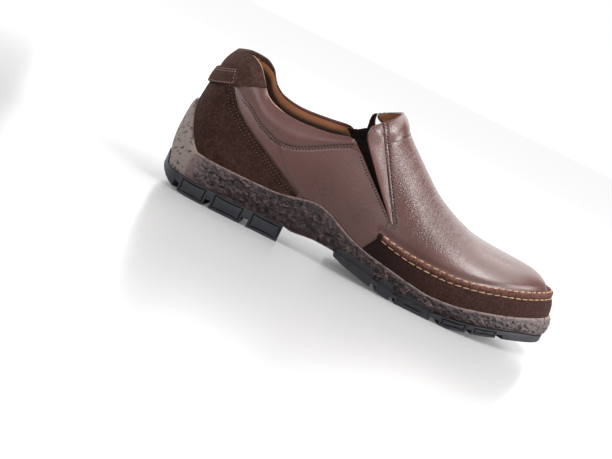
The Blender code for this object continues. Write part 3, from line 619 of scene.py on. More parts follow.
rim_line, floor_line, under_line = (smooth_line(SOLE, column) for column in (1, 2, 3))
topline = {OUTER: smooth_line(TOPLINE, 1), INNER: smooth_line(TOPLINE, 2)}
collar_seam = smooth_line(COLLAR_SEAM, 1)
counter_line = smooth_line(COUNTER, 1)
heel_strip = smooth_line(HEEL_STRIP, 1)
seam_low, seam_high = smooth_line(SEAM, 1), smooth_line(SEAM, 2)
gore_back = smooth_line(GORE_EDGES, 1)
gore_front = [(row[0], row[2]) for row in GORE_EDGES]
vamp_edge = {
    OUTER: smooth_line(gore_front + list(THROAT), 1),
    INNER: smooth_line(gore_front + list(INNER_THROAT), 1),
}
gore_top = {OUTER: smooth_line(GORE_TOPS, 1), INNER: smooth_line(GORE_TOPS, 2)}
flap_seam = smooth_line(FLAP_SEAM, 1)
print("rim of the sole at the ball:", float(rim_line(209.0)), "mm high")

# %% [markdown]
# ## The last itself
# A place on the last has two numbers. Theta goes round the edge of the sole: 0 at the heel, 1 at the toe,
# back at 2. Girth climbs a rib from 0 at the sole to 1 at the spine.
# The function skin turns both into a point of the upper.

# %% The last
LOOP = 2.0
rib_x = np.array([row[0] for row in RIBS])
rib_outer = np.array([-row[1] for row in RIBS])
rib_inner = np.array([row[2] for row in RIBS])
rib_chord = np.hypot(np.diff(rib_x), (np.abs(np.diff(rib_outer)) + np.abs(np.diff(rib_inner))) / 2.0)
rib_share = np.append(0.0, np.cumsum(rib_chord)) / rib_chord.sum()
loop_knots = np.concatenate((rib_share, LOOP - rib_share[-2:0:-1]))
edge_x = closed_spline(loop_knots, np.concatenate((rib_x, rib_x[-2:0:-1])), LOOP)
edge_y = closed_spline(loop_knots, np.concatenate((rib_outer, rib_inner[-2:0:-1])), LOOP)
spine_x = smooth_line([(share, row[3]) for share, row in zip(rib_share, RIBS)], 1)
spine_height, spine_fullness = smooth_line(SPINE, 1), smooth_line(SPINE, 2)


def around(share, side):
    """Place on the loop of a share along the foot, on one side."""
    return share if side == OUTER else LOOP - share


def side_of(theta):
    return np.where(np.mod(theta, LOOP) <= 1.0, OUTER, INNER)


def rib(theta):
    """Edge point, spine point and length of the rib in plan."""
    turn = np.mod(theta, LOOP)
    reach = spine_x(np.minimum(turn, LOOP - turn))
    shift = SPINE_SHIFT * smooth_step((reach - SPINE_SHIFT_START) / SPINE_SHIFT_RUN)
    edge = np.stack((edge_x(theta), edge_y(theta)), axis=-1)
    spine = np.stack((reach, shift), axis=-1)
    return edge, spine, np.linalg.norm(spine - edge, axis=-1)


def plan(theta, inset):
    """Plan position at an inset from the edge of the sole along the rib."""
    edge, spine, length = rib(theta)
    return edge + (spine - edge) * (inset / length)[..., None]


print("ribs at shares of the foot:", rib_share.round(2))

# %% [markdown]
# ## Skin of the last
# A section of the last is part of a superellipse: a fullness of 2 gives an ellipse, and more makes it
# squarer. The angle along that curve is the girth. The normal comes from small steps in both directions.

# %% Skin of the last
def pocket_floor(theta):
    return floor_line(plan(theta, np.full(np.shape(theta), SKIN_INSET))[..., 0])


def section(theta):
    """Length, foot height, spine height and fullness of the rib's section."""
    edge, spine, length = rib(theta)
    return length, pocket_floor(theta) + FIT_GAP, spine_height(spine[..., 0]), spine_fullness(spine[..., 0])


def bare_skin(theta, girth):
    """Outer face of the upper without padding."""
    theta, girth = np.broadcast_arrays(np.asarray(theta, float), np.asarray(girth, float))
    length, foot, top, fullness = section(theta)
    turn = np.clip(girth, 0.0, 1.0) * math.pi / 2.0
    rise = np.sin(turn) ** (2.0 / fullness)
    run = 1.0 - np.maximum(np.cos(turn), 0.0) ** (2.0 / fullness)
    flat = plan(theta, SKIN_INSET + (length - SKIN_INSET) * run)
    return np.concatenate((flat, (foot + (top - foot) * rise)[..., None]), axis=-1)


def skin_normal(theta, girth):
    step = 1e-3
    along = bare_skin(theta + step, girth) - bare_skin(theta - step, girth)
    up = bare_skin(theta, np.minimum(girth + step, 1.0)) - bare_skin(theta, np.maximum(girth - step, 0.0))
    normal = np.cross(along, up)
    return normal / np.linalg.norm(normal, axis=-1)[..., None]


# %% [markdown]
# ## Padding
# The collar and the cuff at the throat are padded. Both swell in the middle of their width and end flat
# at their seams, so a sine of the place across them gives the height of the padding.

# %% Padding
COLLAR_PUFF = 1.2
CUFF_PUFF = 0.9
CUFF_BAND = 14.0
CUFF_LOW = 88.0
CUFF_FADE = 14.0


def top_height(x, side):
    """Height of the collar's top on each side."""
    return np.where(side == OUTER, topline[OUTER](x), topline[INNER](x))


def cuff_share(x, z):
    """How far a place lies from the throat's edge, as a share of the cuff's width."""
    throat_z, throat_x = THROAT[-1]
    gore_z, gore_x = THROAT[1]
    slant = math.hypot(throat_z - gore_z, throat_x - gore_x)
    ahead = ((throat_z - gore_z) / slant, (gore_x - throat_x) / slant)
    return ((x - throat_x) * ahead[0] + (z - throat_z) * ahead[1]) / CUFF_BAND


def collar_share(x, z, side):
    """Height of a place between the collar's seam and its top, 0 to 1."""
    top = top_height(x, side)
    low = collar_seam(x)
    return np.where(x < TOPLINE[-1][0], np.clip((z - low) / np.maximum(top - low, 1.0), 0.0, 1.0), 0.0)


def puff(point, side):
    """Padding of the collar and of the throat cuff."""
    x, z = point[..., 0], point[..., 2]
    collar = COLLAR_PUFF * np.sin(math.pi * collar_share(x, z, side))
    cuff = CUFF_PUFF * np.sin(math.pi * np.clip(cuff_share(x, z), 0.0, 1.0))
    return collar + cuff * smooth_step((z - CUFF_LOW) / CUFF_FADE)


def skin(theta, girth, lift=0.0):
    """Outer face of the upper, raised by a lift along its normal."""
    theta, girth = np.broadcast_arrays(np.asarray(theta, float), np.asarray(girth, float))
    bare = bare_skin(theta, girth)
    return bare + skin_normal(theta, girth) * (puff(bare, side_of(theta)) + lift)[..., None]


# %% [markdown]
# ## From the last to the frame
# The frame of the part has its origin in the middle of the sole's outline, on the floor, and counts in
# metres. The last counts in millimetres from the heel, so one function takes points across.

# %% From the last to the frame
outline = plan(np.linspace(0.0, LOOP, 721), np.zeros(721))
CENTRE = np.append((outline.min(axis=0) + outline.max(axis=0)) / 2.0, 0.0)


def to_frame(points):
    return (points - CENTRE) * MM


print("middle of the sole's outline:", CENTRE.round(3))

# %% [markdown]
# ## Finding places on the last
# To draw a seam on the last, each rib is searched for the girth at which it crosses the seam's line.
# The crossing rises along the rib, so halving the interval again and again finds it, for all ribs at
# once.

# %% Finding places
SIDE_SHARES = (0.15, 0.95)
HALVINGS = 40


def halve(low, high, rising):
    """Root of a function that rises from low to high, by halving."""
    low, high = (np.array(end, float) for end in np.broadcast_arrays(low, high))
    for _ in range(HALVINGS):
        middle = (low + high) / 2.0
        above = rising(middle) > 0.0
        high = np.where(above, middle, high)
        low = np.where(above, low, middle)
    return (low + high) / 2.0


def girth_at(theta, height):
    """Girth at which a rib passes a height."""
    length, foot, top, fullness = section(theta)
    rise = np.clip((height - foot) / (top - foot), 0.0, 1.0)
    return np.arcsin(rise ** (fullness / 2.0)) / (math.pi / 2.0)


def skin_inset(theta, height):
    """Inset of the upper's outer face from the edge of the sole at a height."""
    length, foot, top, fullness = section(theta)
    rise = np.clip((height - foot) / (top - foot), 0.0, 1.0)
    return SKIN_INSET + (length - SKIN_INSET) * (1.0 - (1.0 - rise ** fullness) ** (1.0 / fullness))


# %% [markdown]
# ## Crossings with a line
# With halving, a seam drawn in side view is found on the last: rib by rib, or girth by girth.
# Two more functions measure how far a place lies from such a line.

# %% Crossings with a line
def girth_on(theta, line):
    """Girth at which a rib crosses a line given as height over x."""

    def over(girth):
        point = bare_skin(theta, girth)
        return point[..., 2] - line(point[..., 0])

    return halve(np.zeros_like(theta), np.full_like(theta, 0.999), over)


def share_on(girth, side, line):
    """Share along the foot at which a girth row crosses a line given as x over height."""

    def ahead(share):
        point = bare_skin(around(share, side), girth)
        return point[..., 0] - line(point[..., 2])

    return halve(np.full_like(girth, SIDE_SHARES[0]), np.full_like(girth, SIDE_SHARES[1]), ahead)


def girth_along(line, side, heights):
    """Girths at which a line given as x over height passes some heights."""

    def over(girth):
        return bare_skin(around(share_on(girth, side, line), side), girth)[..., 2] - heights

    return halve(np.zeros_like(heights), np.ones_like(heights), over)


def share_at(x):
    """Share along the foot at which the edge of the sole has an x."""
    x = np.asarray(x, float)
    return halve(np.zeros_like(x), np.ones_like(x), lambda share: edge_x(share) - x)


def over_line(x, z, line):
    """Distance above a line given as height over x, in side view."""
    slope = line(x + 0.5) - line(x - 0.5)
    return (z - line(x)) / np.sqrt(1.0 + slope ** 2)


def ahead_of_line(x, z, line):
    """Distance in front of a line given as x over height, in side view."""
    slope = line(z + 0.5) - line(z - 0.5)
    return (x - line(z)) / np.sqrt(1.0 + slope ** 2)


print("share of the ball along the foot:", round(float(share_at(208.0)), 3))

# %% [markdown]
# ## Cutting and lasting a panel
# A shoemaker cuts a flat panel and pulls it over the last. The operator create_grid cuts the panel,
# and moving each of its points to its place on the last does the pulling.
# Marks for the materials go along as vertex layers.

# %% Cutting and lasting
def pull(shape, points, **marks):
    """A flat grid of squares pulled to a grid of points, with named marks on its vertices."""
    rows, columns = points.shape[:2]
    layers = shape.verts.layers.float
    marked = {name: layers.get(name) or layers.new(name) for name in marks}
    flat = bmesh.ops.create_grid(shape, x_segments=columns - 1, y_segments=rows - 1, size=0.5)["verts"]
    for vertex, point in zip(flat, to_frame(points).reshape(-1, 3)):
        vertex.co = point
    for name, layer in marked.items():
        for vertex, value in zip(flat, np.broadcast_to(marks[name], (rows, columns)).ravel()):
            vertex[layer] = value
    return flat


def between(low, high, count):
    """Rows between two edges."""
    return low + (high - low) * np.linspace(0.0, 1.0, count)[:, None]


# %% [markdown]
# ## Setting out a piece
# A finished mesh becomes an object that rides on the part's body and replaces the plain solid.
# Most pieces are one panel, so one function makes a piece from a grid of points.
# Thickness and rounded edges are modifiers, because they stay easy to change.

# %% Setting out a piece
def set_out(name, mesh, finishes, replaced=()):
    """The object of a finished mesh: smooth, on its body, with its finishes."""
    for finish in finishes:
        mesh.materials.append(finish)
    mesh.shade_smooth()
    made = bpy.data.objects.new(name, mesh)
    bpy.context.scene.collection.objects.link(made)
    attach(made, "root")
    if replaced:
        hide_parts(*replaced)
    print(name, "has", len(mesh.polygons), "faces")
    return made


def finish_piece(shape, name, finishes, replaced, weld=0.0):
    """The object of a bmesh, welded where its edges meet."""
    if weld:
        bmesh.ops.remove_doubles(shape, verts=shape.verts, dist=weld * MM)
    mesh = bpy.data.meshes.new(name)
    shape.to_mesh(mesh)
    shape.free()
    return set_out(name, mesh, finishes, replaced)


def thicken(piece, thickness, edge, lining_slot=0):
    """Gives a panel its thickness inwards and rounds its cut edges."""
    wall = piece.modifiers.new("thickness", "SOLIDIFY")
    wall.thickness = thickness * MM
    wall.offset = -1.0
    wall.material_offset = lining_slot
    round_edge = piece.modifiers.new("round edge", "BEVEL")
    round_edge.width = edge * MM
    round_edge.segments = 2
    round_edge.limit_method = "ANGLE"
    round_edge.angle_limit = math.radians(50.0)
    round_edge.profile = 0.5
    round_edge.material = -1


def make_panel(name, points, finishes, slot, replaced, wall=None, weld=0.0, flip=False, **marks):
    """A piece from one grid of points; its wall is a thickness and the rounding of its edges."""
    shape = bmesh.new()
    pull(shape, points, **marks)
    if flip:
        bmesh.ops.reverse_faces(shape, faces=shape.faces)
    made = finish_piece(shape, name, finishes, replaced, weld)
    if wall:
        thicken(made, *wall, lining_slot=len(finishes) - 1)


# %% [markdown]
# ## Relief of the leather
# Soft creases, stitched grooves and padding are moves along the normal of the last. Creases cross the
# vamp where the foot bends; each is a row of a table, a soft trough with its own lean, reach and depth.

# %% Creases
# Columns: x at the ridge, lean back going down, reach down the outer and the inner side, half width, depth
CREASES = (
    (158.0, 0.25, 26.0, 20.0, 2.2, 0.14),
    (168.0, 0.35, 30.0, 26.0, 2.0, 0.16),
    (176.0, 0.3, 22.0, 34.0, 1.6, 0.12),
    (184.0, 0.4, 34.0, 28.0, 2.0, 0.2),
    (191.0, 0.35, 24.0, 30.0, 1.5, 0.16),
    (197.0, 0.45, 32.0, 22.0, 1.8, 0.2),
    (203.0, 0.4, 20.0, 26.0, 1.4, 0.14),
    (209.0, 0.5, 27.0, 24.0, 1.8, 0.18),
    (216.0, 0.45, 18.0, 20.0, 1.6, 0.12),
)


def trough(distance, width):
    return np.exp(-(distance / width) ** 2)


def vamp_creases(x, z, side):
    """Depth of the creases across the vamp, each with a low ridge in front of it."""
    below = spine_height(x) - z
    depth = np.zeros_like(x)
    for ridge_x, lean, outer_reach, inner_reach, width, deep in CREASES:
        reach = np.where(side == OUTER, outer_reach, inner_reach)
        line = ridge_x - lean * below + 1.5 * np.sin(below / 5.0 + ridge_x)
        fade = (1.0 - smooth_step(below / reach)) * (0.25 + 0.75 * smooth_step(below / 9.0))
        ridge = 0.5 * trough(x - line - 2.2 * width, width)
        depth += deep * fade * (trough(x - line, width) - ridge)
    return depth


def flex_zone(x, z):
    """Where the leather wrinkles: across the vamp, and below the cuff."""
    bend = trough(x - 192.0, 34.0) * smooth_step((z - 38.0) / 12.0)
    return np.clip(np.maximum(bend, 0.75 * trough(x - 158.0, 13.0)), 0.1, 1.0)


print("creases across the vamp:", len(CREASES))

# %% [markdown]
# ## Seams of the quarters
# The quarters have a padded collar with two stitched grooves below it, a strip that comes from under the
# counter, and a dark line beside the counter. Grooves are troughs across the distance from a line.

# %% Seams of the quarters
COUNTER_END = 97.0
COLLAR_ROLL = 0.8
COLLAR_ROWS = (-0.95, 0.95)
COLLAR_GROOVE = 0.35
STRIP_START, STRIP_STOP = 62.0, 112.0


def collar_stitch(x):
    """Middle of the two rows of collar stitches; they dip behind the collar's padding at the heel."""
    return collar_seam(x) - 3.0 * smooth_step((46.0 - x) / 16.0)


def quarter_relief(x, z, side):
    """Move and seam mark of the quarters."""
    over_collar = over_line(x, z, collar_stitch)
    collar_line = sum(trough(over_collar - gap, 0.7) for gap in COLLAR_ROWS) * smooth_step((x - 24.0) / 6.0)
    beside_counter = (x > 28.0) & (x < COUNTER_END)
    counter_edge = np.where(beside_counter, trough(over_line(x, z, counter_line) - 0.4, 0.6), 0.0)
    roll = COLLAR_ROLL * np.sin(math.pi * collar_share(x, z, side) ** 0.65) ** 0.9
    strip = over_line(x, z, heel_strip)
    on_strip = (x > STRIP_START) & (over_collar < 0.0)
    strip_line = np.where(on_strip & (x < STRIP_STOP), trough(strip, 0.6), 0.0)
    strip_step = np.where(on_strip, 0.35 * smooth_step(strip / 1.2 + 0.5), 0.0) * smooth_step(-over_collar)
    move = roll - COLLAR_GROOVE * collar_line + strip_step - 0.3 * strip_line
    return move, 0.35 * collar_line + 0.5 * strip_line + 0.9 * counter_edge


# %% [markdown]
# ## Seams of the vamp
# The vamp has a stitched groove where the cuff ends and a fold along the flap, and it carries the creases.
# The dark mark is kept off the fold's crest and put into the valleys beside it.

# %% Seams of the vamp
CUFF_STITCH = 1.06


def vamp_relief(x, z, side):
    """Move and seam mark of the vamp."""
    on_cuff = smooth_step((z - CUFF_LOW) / CUFF_FADE)
    cuff_line = on_cuff * trough((cuff_share(x, z) - CUFF_STITCH) * CUFF_BAND, 1.1)
    seam_gap = ahead_of_line(x, z, flap_seam)
    above_tip = z > GORE_TIP - 2.0
    fold = np.where(above_tip, trough(seam_gap - 0.3, 0.6), 0.0)
    beside_fold = np.where(above_tip, trough(seam_gap + 0.8, 0.5) + trough(seam_gap - 1.5, 0.5), 0.0)
    move = 0.45 * fold - 0.5 * beside_fold - 0.3 * cuff_line - vamp_creases(x, z, side)
    return move, 0.4 * cuff_line + 0.85 * beside_fold


# %% [markdown]
# ## Painted low shade and the whole relief
# Painted shade darkens the leather low down near the sole, and it is also darker beside the moccasin lip,
# where it tucks in.
# The whole relief takes the quarters behind the gore and the vamp in front of it.

# %% Painted low shade and the whole relief
LOW_PAINTED_SHADE, LOW_PAINTED_SHADE_HEIGHT = 0.38, 42.0
LIP_DARK_BAND, LIP_DARK_BAND_WIDTH = 0.4, 11.0


def painted_low_shade_and_lip_band(x, z):
    """Painted shade low on the upper, and a darker band beside the moccasin lip."""
    # Painted shade: darker low down, fading out with height above the rim of the sole.
    low = LOW_PAINTED_SHADE * (1.0 - smooth_step((z - rim_line(x)) / LOW_PAINTED_SHADE_HEIGHT))
    along_lip = smooth_step((x - 150.0) / 10.0) * smooth_step((222.0 - x) / 30.0)
    return np.maximum(low, LIP_DARK_BAND * trough(over_line(x, z, seam_high), LIP_DARK_BAND_WIDTH) * along_lip)


def leather_relief(theta, girth):
    """Move along the normal, flex mark and seam mark of the upper's leather."""
    point = bare_skin(theta, girth)
    side = side_of(theta)
    x, z = point[..., 0], point[..., 2]
    quarter = x < gore_back(z) + 1.0
    back_move, back_seam = quarter_relief(x, z, side)
    front_move, front_seam = vamp_relief(x, z, side)
    tuck = np.where(x > 158.0, trough(over_line(x, z, seam_high), 2.2), 0.0)
    move = np.where(quarter, back_move, front_move) - 0.6 * tuck
    # The seam mark also takes the painted shade low down and the darker band beside the lip.
    seam = np.where(quarter, back_seam, front_seam) + painted_low_shade_and_lip_band(x, z)
    return move, np.where(quarter, 0.15, flex_zone(x, z)), np.clip(seam, 0.0, 1.0)


# %% [markdown]
# ## Rows and columns of the upper
# The upper is two quarters that meet round the heel, and a vamp over the toes; the gores sit between
# them. Each panel is a grid: rows climb the last, and columns run along it and follow the edges of the
# gore. The panels share their rows below the tip of the gore, so that they can be welded there.

# %% Rows and columns of the upper
ROWS = 101
TIP_ROW = 34
NEAR_FLAP = 0.12
NEAR_COLUMNS = 44
FAR_COLUMNS = 100

# Edge of the inner cuff above the flap, where a slit parts them. Columns: height, x
SLIT_EDGE = (
    (GORE_TIP, 164.0), (53.0, 158.8), (60.0, 152.0), (70.0, 142.8), (75.0, 141.5),
    (80.0, 144.4), (86.0, 141.6), (92.0, 139.4), (98.0, 138.4), (102.5, 134.6),
    (105.4, 129.6), (107.0, 125.5), (109.4, 128.7), (113.2, 135.2), (117.0, 141.0),
)
vamp_cut = {OUTER: vamp_edge[OUTER], INNER: smooth_line(SLIT_EDGE, 1)}
tip_share = float(share_on(np.array([0.3]), OUTER, lambda z: np.full_like(z, GORE_EDGES[0][1]))[0])
tip_girth = float(girth_at(np.array([tip_share]), GORE_TIP)[0])
vamp_rows = np.concatenate((
    np.linspace(0.0, tip_girth, TIP_ROW + 1),
    np.linspace(tip_girth, 1.0, ROWS - TIP_ROW)[1:],
))


def vamp_start(side):
    """Share along the foot at which each row of the vamp starts."""
    start = share_on(vamp_rows, side, vamp_cut[side])
    start[:TIP_ROW] = start[TIP_ROW]
    return start


def vamp_shares(side):
    """Shares along the foot of one half of the vamp, with finer columns near the flap."""
    start = vamp_start(side)[:, None]
    near = np.linspace(0.0, NEAR_FLAP, NEAR_COLUMNS + 1)
    far = np.linspace(NEAR_FLAP, 1.0, FAR_COLUMNS + 1)[1:]
    return start + (1.0 - start) * np.append(near, far)[None, :]


print("girth at the tip of the gore:", round(tip_girth, 3))

# %% [markdown]
# ## Rows of the quarters
# The top row of a quarter follows the collar, and its last column climbs the back edge of the gore to the
# corner where both meet. Rows are even at the heel and follow the gore at the front, blended between.

# %% Rows of the quarters
QUARTER_COLUMNS = 160


def collar_corner(side):
    """Girth at which the gore's back edge meets the collar."""

    def over(girth):
        point = bare_skin(around(share_on(girth, side, gore_back), side), girth)
        return point[..., 2] - topline[side](point[..., 0])

    return float(halve(np.array([tip_girth]), np.array([0.999]), over)[0])


def quarter_half(side):
    """Shares and girths of one quarter; the last column runs up the gore's back edge."""
    rise = np.linspace(0.0, 1.0, ROWS - TIP_ROW)[1:]
    corner = collar_corner(side)
    gore_rows = np.concatenate((vamp_rows[:TIP_ROW + 1], tip_girth + (corner - tip_girth) * rise))
    gore_share = share_on(gore_rows, side, gore_back)
    gore_share[:TIP_ROW + 1] = vamp_start(side)[TIP_ROW]
    along = np.linspace(0.0, 1.0, QUARTER_COLUMNS + 1)[None, :]
    shares = gore_share[:, None] * along
    top = girth_on(around(shares[-1], side), topline[side])
    top[-1] = corner
    even = np.linspace(0.0, 1.0, ROWS)[:, None] * top[None, :]
    sloped = gore_rows[:, None] * top[None, :] / corner
    return shares, even * (1.0 - along ** 2) + sloped * along ** 2


print("corner of the collar at girth", round(collar_corner(OUTER), 3))

# %% [markdown]
# ## Lining
# The upper is lined. The lining needs only half the points of the leather, and the edges of its border are
# halved, so that they meet the rims. At the heel the suede of the patch is folded over onto it,
# and ahead of that the leather; the finish of each face follows from its row and its place.

# %% Lining
FOLD_START = 55.0
FOLD_ROWS = 4.0
LEATHER, LINING, CUT_EDGE, SUEDE = 0, 1, 2, 3


def paint(flat, columns, finish_at):
    """Gives the faces of a fresh grid their finish, from their row and their place on the last."""
    row_of = {vertex: place // columns for place, vertex in enumerate(flat)}
    for face in {face for vertex in flat for face in vertex.link_faces}:
        place = np.array(face.calc_center_median()) / MM + CENTRE
        face.material_index = finish_at(min(row_of[vertex] for vertex in face.verts), place[0], place[1])


def lining_depth(theta, girth):
    """Mark of painted shade that darkens the lining below the collar, a little at the heel, and towards the
    toes.
    """
    place = bare_skin(theta, girth)
    x, z = place[..., 0], place[..., 2]
    below = top_height(x, side_of(theta)) - z
    under_collar = smooth_step((below - 3.5) / 4.5) * smooth_step((125.0 - x) / 10.0)
    at_heel = 0.3 * smooth_step((below - 1.5) / 5.0) * smooth_step((62.0 - x) / 8.0)
    return np.maximum(np.maximum(under_collar, at_heel), smooth_step((x - 140.0) / 15.0))


def add_lining(shape, theta, girth, inside):
    """Inner face with half the points of the outer one, and a border to match it."""
    theta, girth, inside = theta[::2, ::2], girth[::2, ::2], inside[::2, ::2]
    rows, columns = theta.shape
    flat = pull(shape, inside, deep=lining_depth(theta, girth))

    def finish_at(row, x, y):
        """Suede folded over the inner rim at the heel, leather folded over ahead of it."""
        if x < FOLD_START and row >= rows - FOLD_ROWS * smooth_step(y / 18.0):
            return SUEDE
        return LEATHER if row >= rows - 3 and FOLD_START < x < TOPLINE[-1][0] else LINING

    paint(flat, columns, finish_at)
    border = {edge for vertex in flat for edge in vertex.link_edges if edge.is_boundary}
    if np.all(girth[-1] == 1.0):
        ridge = set(flat[-columns:])
        border = {edge for edge in border if not ridge.issuperset(edge.verts)}
    bmesh.ops.subdivide_edges(shape, edges=list(border), cuts=1)


# %% [markdown]
# ## Faces of a panel
# Each panel has an outer leather face and an inner lining face with its own padding.
# The vamp's last row runs along the ridge of the foot, where its two halves take the mean of both.

# %% Faces of a panel
WALL = 2.2
LINING_PAD = 1.7


def add_faces(shape, theta, girth):
    """Outer leather face and inner lining face of a panel; returns both grids of points."""
    move, flex, seam = leather_relief(theta, girth)
    outside = skin(theta, girth, move)
    place = bare_skin(theta, girth)
    roll = np.sin(math.pi * collar_share(place[..., 0], place[..., 2], side_of(theta)))
    pad = LINING_PAD * roll * smooth_step((112.0 - place[..., 0]) / 12.0)
    inside = skin(theta, girth, -WALL - pad)
    if np.all(girth[-1] == 1.0):
        outside[-1] = (outside[-1] + outside[-1][::-1]) / 2.0
        inside[-1] = (inside[-1] + inside[-1][::-1]) / 2.0
    for border in (inside[0], inside[-1], inside[:, 0], inside[:, -1]):
        border[1::2] = (border[:-1:2] + border[2::2]) / 2.0
    pull(shape, outside, flex=flex, seam=seam)
    add_lining(shape, theta, girth, inside)
    return outside, inside


print("wall of the upper:", WALL, "mm, padding of the collar's lining:", LINING_PAD, "mm")

# %% [markdown]
# ## Rims of the upper
# A rim is a half circle from the edge of the outer face to the edge of the lining. At the heel it leans
# inwards, and there its finish changes: suede from the patch, with the cut edge of the lining inside it.

# %% Rims of the upper
RIM_STEPS = 7
RIM_BULGE = 0.9
CUT_ROWS = 4.0
PATCH_FRONT = 46.0
RIM_FADE = 4.0


def rim_finish(row, x, y):
    """Suede round the heel, leather ahead of it; the lining's cut edge shows on the outer side."""
    if x < FOLD_START + 8.0 and row > RIM_STEPS - CUT_ROWS * smooth_step(-y / 16.0):
        return CUT_EDGE
    return SUEDE if x < PATCH_FRONT else LEATHER


def end_fade(count, run):
    """Rises along a row from 0 at both of its ends to 1."""
    steps = np.arange(count)
    return smooth_step(np.minimum(steps, steps[::-1]) / run)


def add_rim(shape, outside, inside, beyond, bulge=RIM_BULGE, lean=0.0):
    """Rounded rim between an edge of the outer face and the same edge of the inner face."""
    count = len(outside)
    fade = end_fade(count, RIM_FADE)[:, None]
    middle, half = (outside + inside) / 2.0, (outside - inside) / 2.0
    away = beyond - half * ((beyond * half).sum(axis=1) / (half ** 2).sum(axis=1))[:, None]
    away = away / np.linalg.norm(away, axis=1)[:, None] * np.linalg.norm(half, axis=1)[:, None]
    rows = []
    for turn in np.linspace(0.0, math.pi, RIM_STEPS + 2):
        proud = bulge * math.sin(turn) + lean * math.sin(max(0.0, 2.0 * turn - math.pi)) ** 2
        rows.append(middle + half * math.cos(turn) + away * proud * fade)
    paint(pull(shape, np.stack(rows)), count, rim_finish)


def add_panel(shape, theta, girth):
    """Faces of a panel with rims along its foot and along its two ends above the tip of the gore."""
    outside, inside = add_faces(shape, theta, girth)
    for edge, next_one in ((0, 1), (-1, -2)):
        beyond = outside[TIP_ROW:, edge] - outside[TIP_ROW:, next_one]
        add_rim(shape, outside[TIP_ROW:, edge], inside[TIP_ROW:, edge], beyond)
    add_rim(shape, outside[0], inside[0], outside[0] - outside[1], bulge=0.0)
    return outside, inside


# %% [markdown]
# ## The leather upper
# The two quarters are one panel that goes round the heel, and the two halves of the vamp are another.
# Welding joins their faces and rims into one closed shell, so the count of open edges has to be nought.

# %% The leather upper
HEEL_LEAN = 0.9
SHELL_WELD = 0.02

shape = bmesh.new()
outer_shares, outer_girths = quarter_half(OUTER)
inner_shares, inner_girths = quarter_half(INNER)
quarter_theta = np.concatenate((-inner_shares[:, :0:-1], outer_shares), axis=1)
quarter_girth = np.concatenate((inner_girths[:, :0:-1], outer_girths), axis=1)
outside, inside = add_panel(shape, quarter_theta, quarter_girth)
heel_lean = HEEL_LEAN * smooth_step((FOLD_START + 14.0 - outside[-1][:, :1]) / 10.0)
add_rim(shape, outside[-1], inside[-1], outside[-1] - outside[-2], lean=heel_lean)
vamp_theta = np.concatenate((vamp_shares(OUTER), LOOP - vamp_shares(INNER)[:, -2::-1]), axis=1)
vamp_girth = np.broadcast_to(vamp_rows[:, None], vamp_theta.shape)
add_panel(shape, vamp_theta, vamp_girth)
bmesh.ops.remove_doubles(shape, verts=shape.verts, dist=SHELL_WELD * MM)
bmesh.ops.recalc_face_normals(shape, faces=shape.faces)
print("open edges of the upper:", sum(edge.is_boundary for edge in shape.edges))
upper_finishes = [leather, lining, lining_edge, patch_suede]
finish_piece(shape, "leather_upper", upper_finishes, ["upper"])

# %% [markdown]
# ## Stitches
# A stitch is a short piece of thread that dives into the leather at both ends: a stretched sphere,
# flattened and bowed. One is modelled, and a row of them is one joined mesh: copies set along a path at
# an even pitch.

# %% Stitches
def one_stitch():
    """Points and faces of a stitch of unit length, width and height along x, with bowed ends."""
    shape = bmesh.new()
    lying = Matrix.Rotation(math.pi / 2.0, 4, "Y")
    bmesh.ops.create_uvsphere(shape, u_segments=8, v_segments=6, radius=0.5, matrix=lying)
    for vertex in shape.verts:
        vertex.co.x = math.copysign(0.5 * abs(2.0 * vertex.co.x) ** 0.7, vertex.co.x)
        vertex.co.z -= 1.6 * vertex.co.x ** 2
    shape.verts.index_update()
    points = np.array([vertex.co for vertex in shape.verts])
    faces = [[vertex.index for vertex in face.verts] for face in shape.faces]
    shape.free()
    return points, faces


STITCH_POINTS, STITCH_FACES = one_stitch()
print("a stitch has", len(STITCH_FACES), "faces")

# %% [markdown]
# ## Rows of stitches
# A row follows a path at an even pitch, with small random turns and sizes, as a sewing machine leaves them.
# The random numbers start from a fixed seed, so the stitches are the same every time.

# %% Rows of stitches
STITCH_SEED = 7
UNEVEN = 0.05


def stitch_places(path, normals, pitch):
    """Middles, directions and normals at an even pitch along a path."""
    gaps = np.linalg.norm(np.diff(path, axis=0), axis=1)
    run = np.append(0.0, np.cumsum(gaps))
    count = max(int(run[-1] / pitch), 1)
    at = (np.arange(count) + 0.5) * run[-1] / count

    def read(values, places):
        return np.stack([np.interp(places, run, values[:, axis]) for axis in range(3)], axis=-1)

    ahead = read(path, np.minimum(at + 0.3, run[-1])) - read(path, np.maximum(at - 0.3, 0.0))
    ahead /= np.linalg.norm(ahead, axis=1)[:, None]
    up = read(normals, at)
    up -= ahead * (up * ahead).sum(axis=1)[:, None]
    return read(path, at), ahead, up / np.linalg.norm(up, axis=1)[:, None]


def sew(name, rows, size, pitch, finish, slant=0.0):
    """One mesh of all the stitches along some rows; each row is a path and its normals, in millimetres."""
    chance = np.random.default_rng(STITCH_SEED)
    points, faces = [], []
    for path, normals in rows:
        middles, ahead, up = stitch_places(path, normals, pitch)
        across = np.cross(up, ahead)
        turn = slant + chance.normal(0.0, UNEVEN, len(middles))[:, None]
        along = ahead * np.cos(turn) + across * np.sin(turn)
        beside = np.cross(up, along)
        for k, middle in enumerate(middles):
            local = STITCH_POINTS * (np.array(size) * (1.0 + chance.normal(0.0, UNEVEN)))
            faces += [[i + len(points) * len(STITCH_POINTS) for i in face] for face in STITCH_FACES]
            points.append(middle + local @ np.stack((along[k], beside[k], up[k])))
    mesh = bpy.data.meshes.new(name)
    mesh.from_pydata(to_frame(np.concatenate(points)), [], faces)
    set_out(name, mesh, [finish])


def on_last(theta, girth, lift):
    """Path on the leather with its normals."""
    return skin(theta, girth, lift), skin_normal(theta, girth)


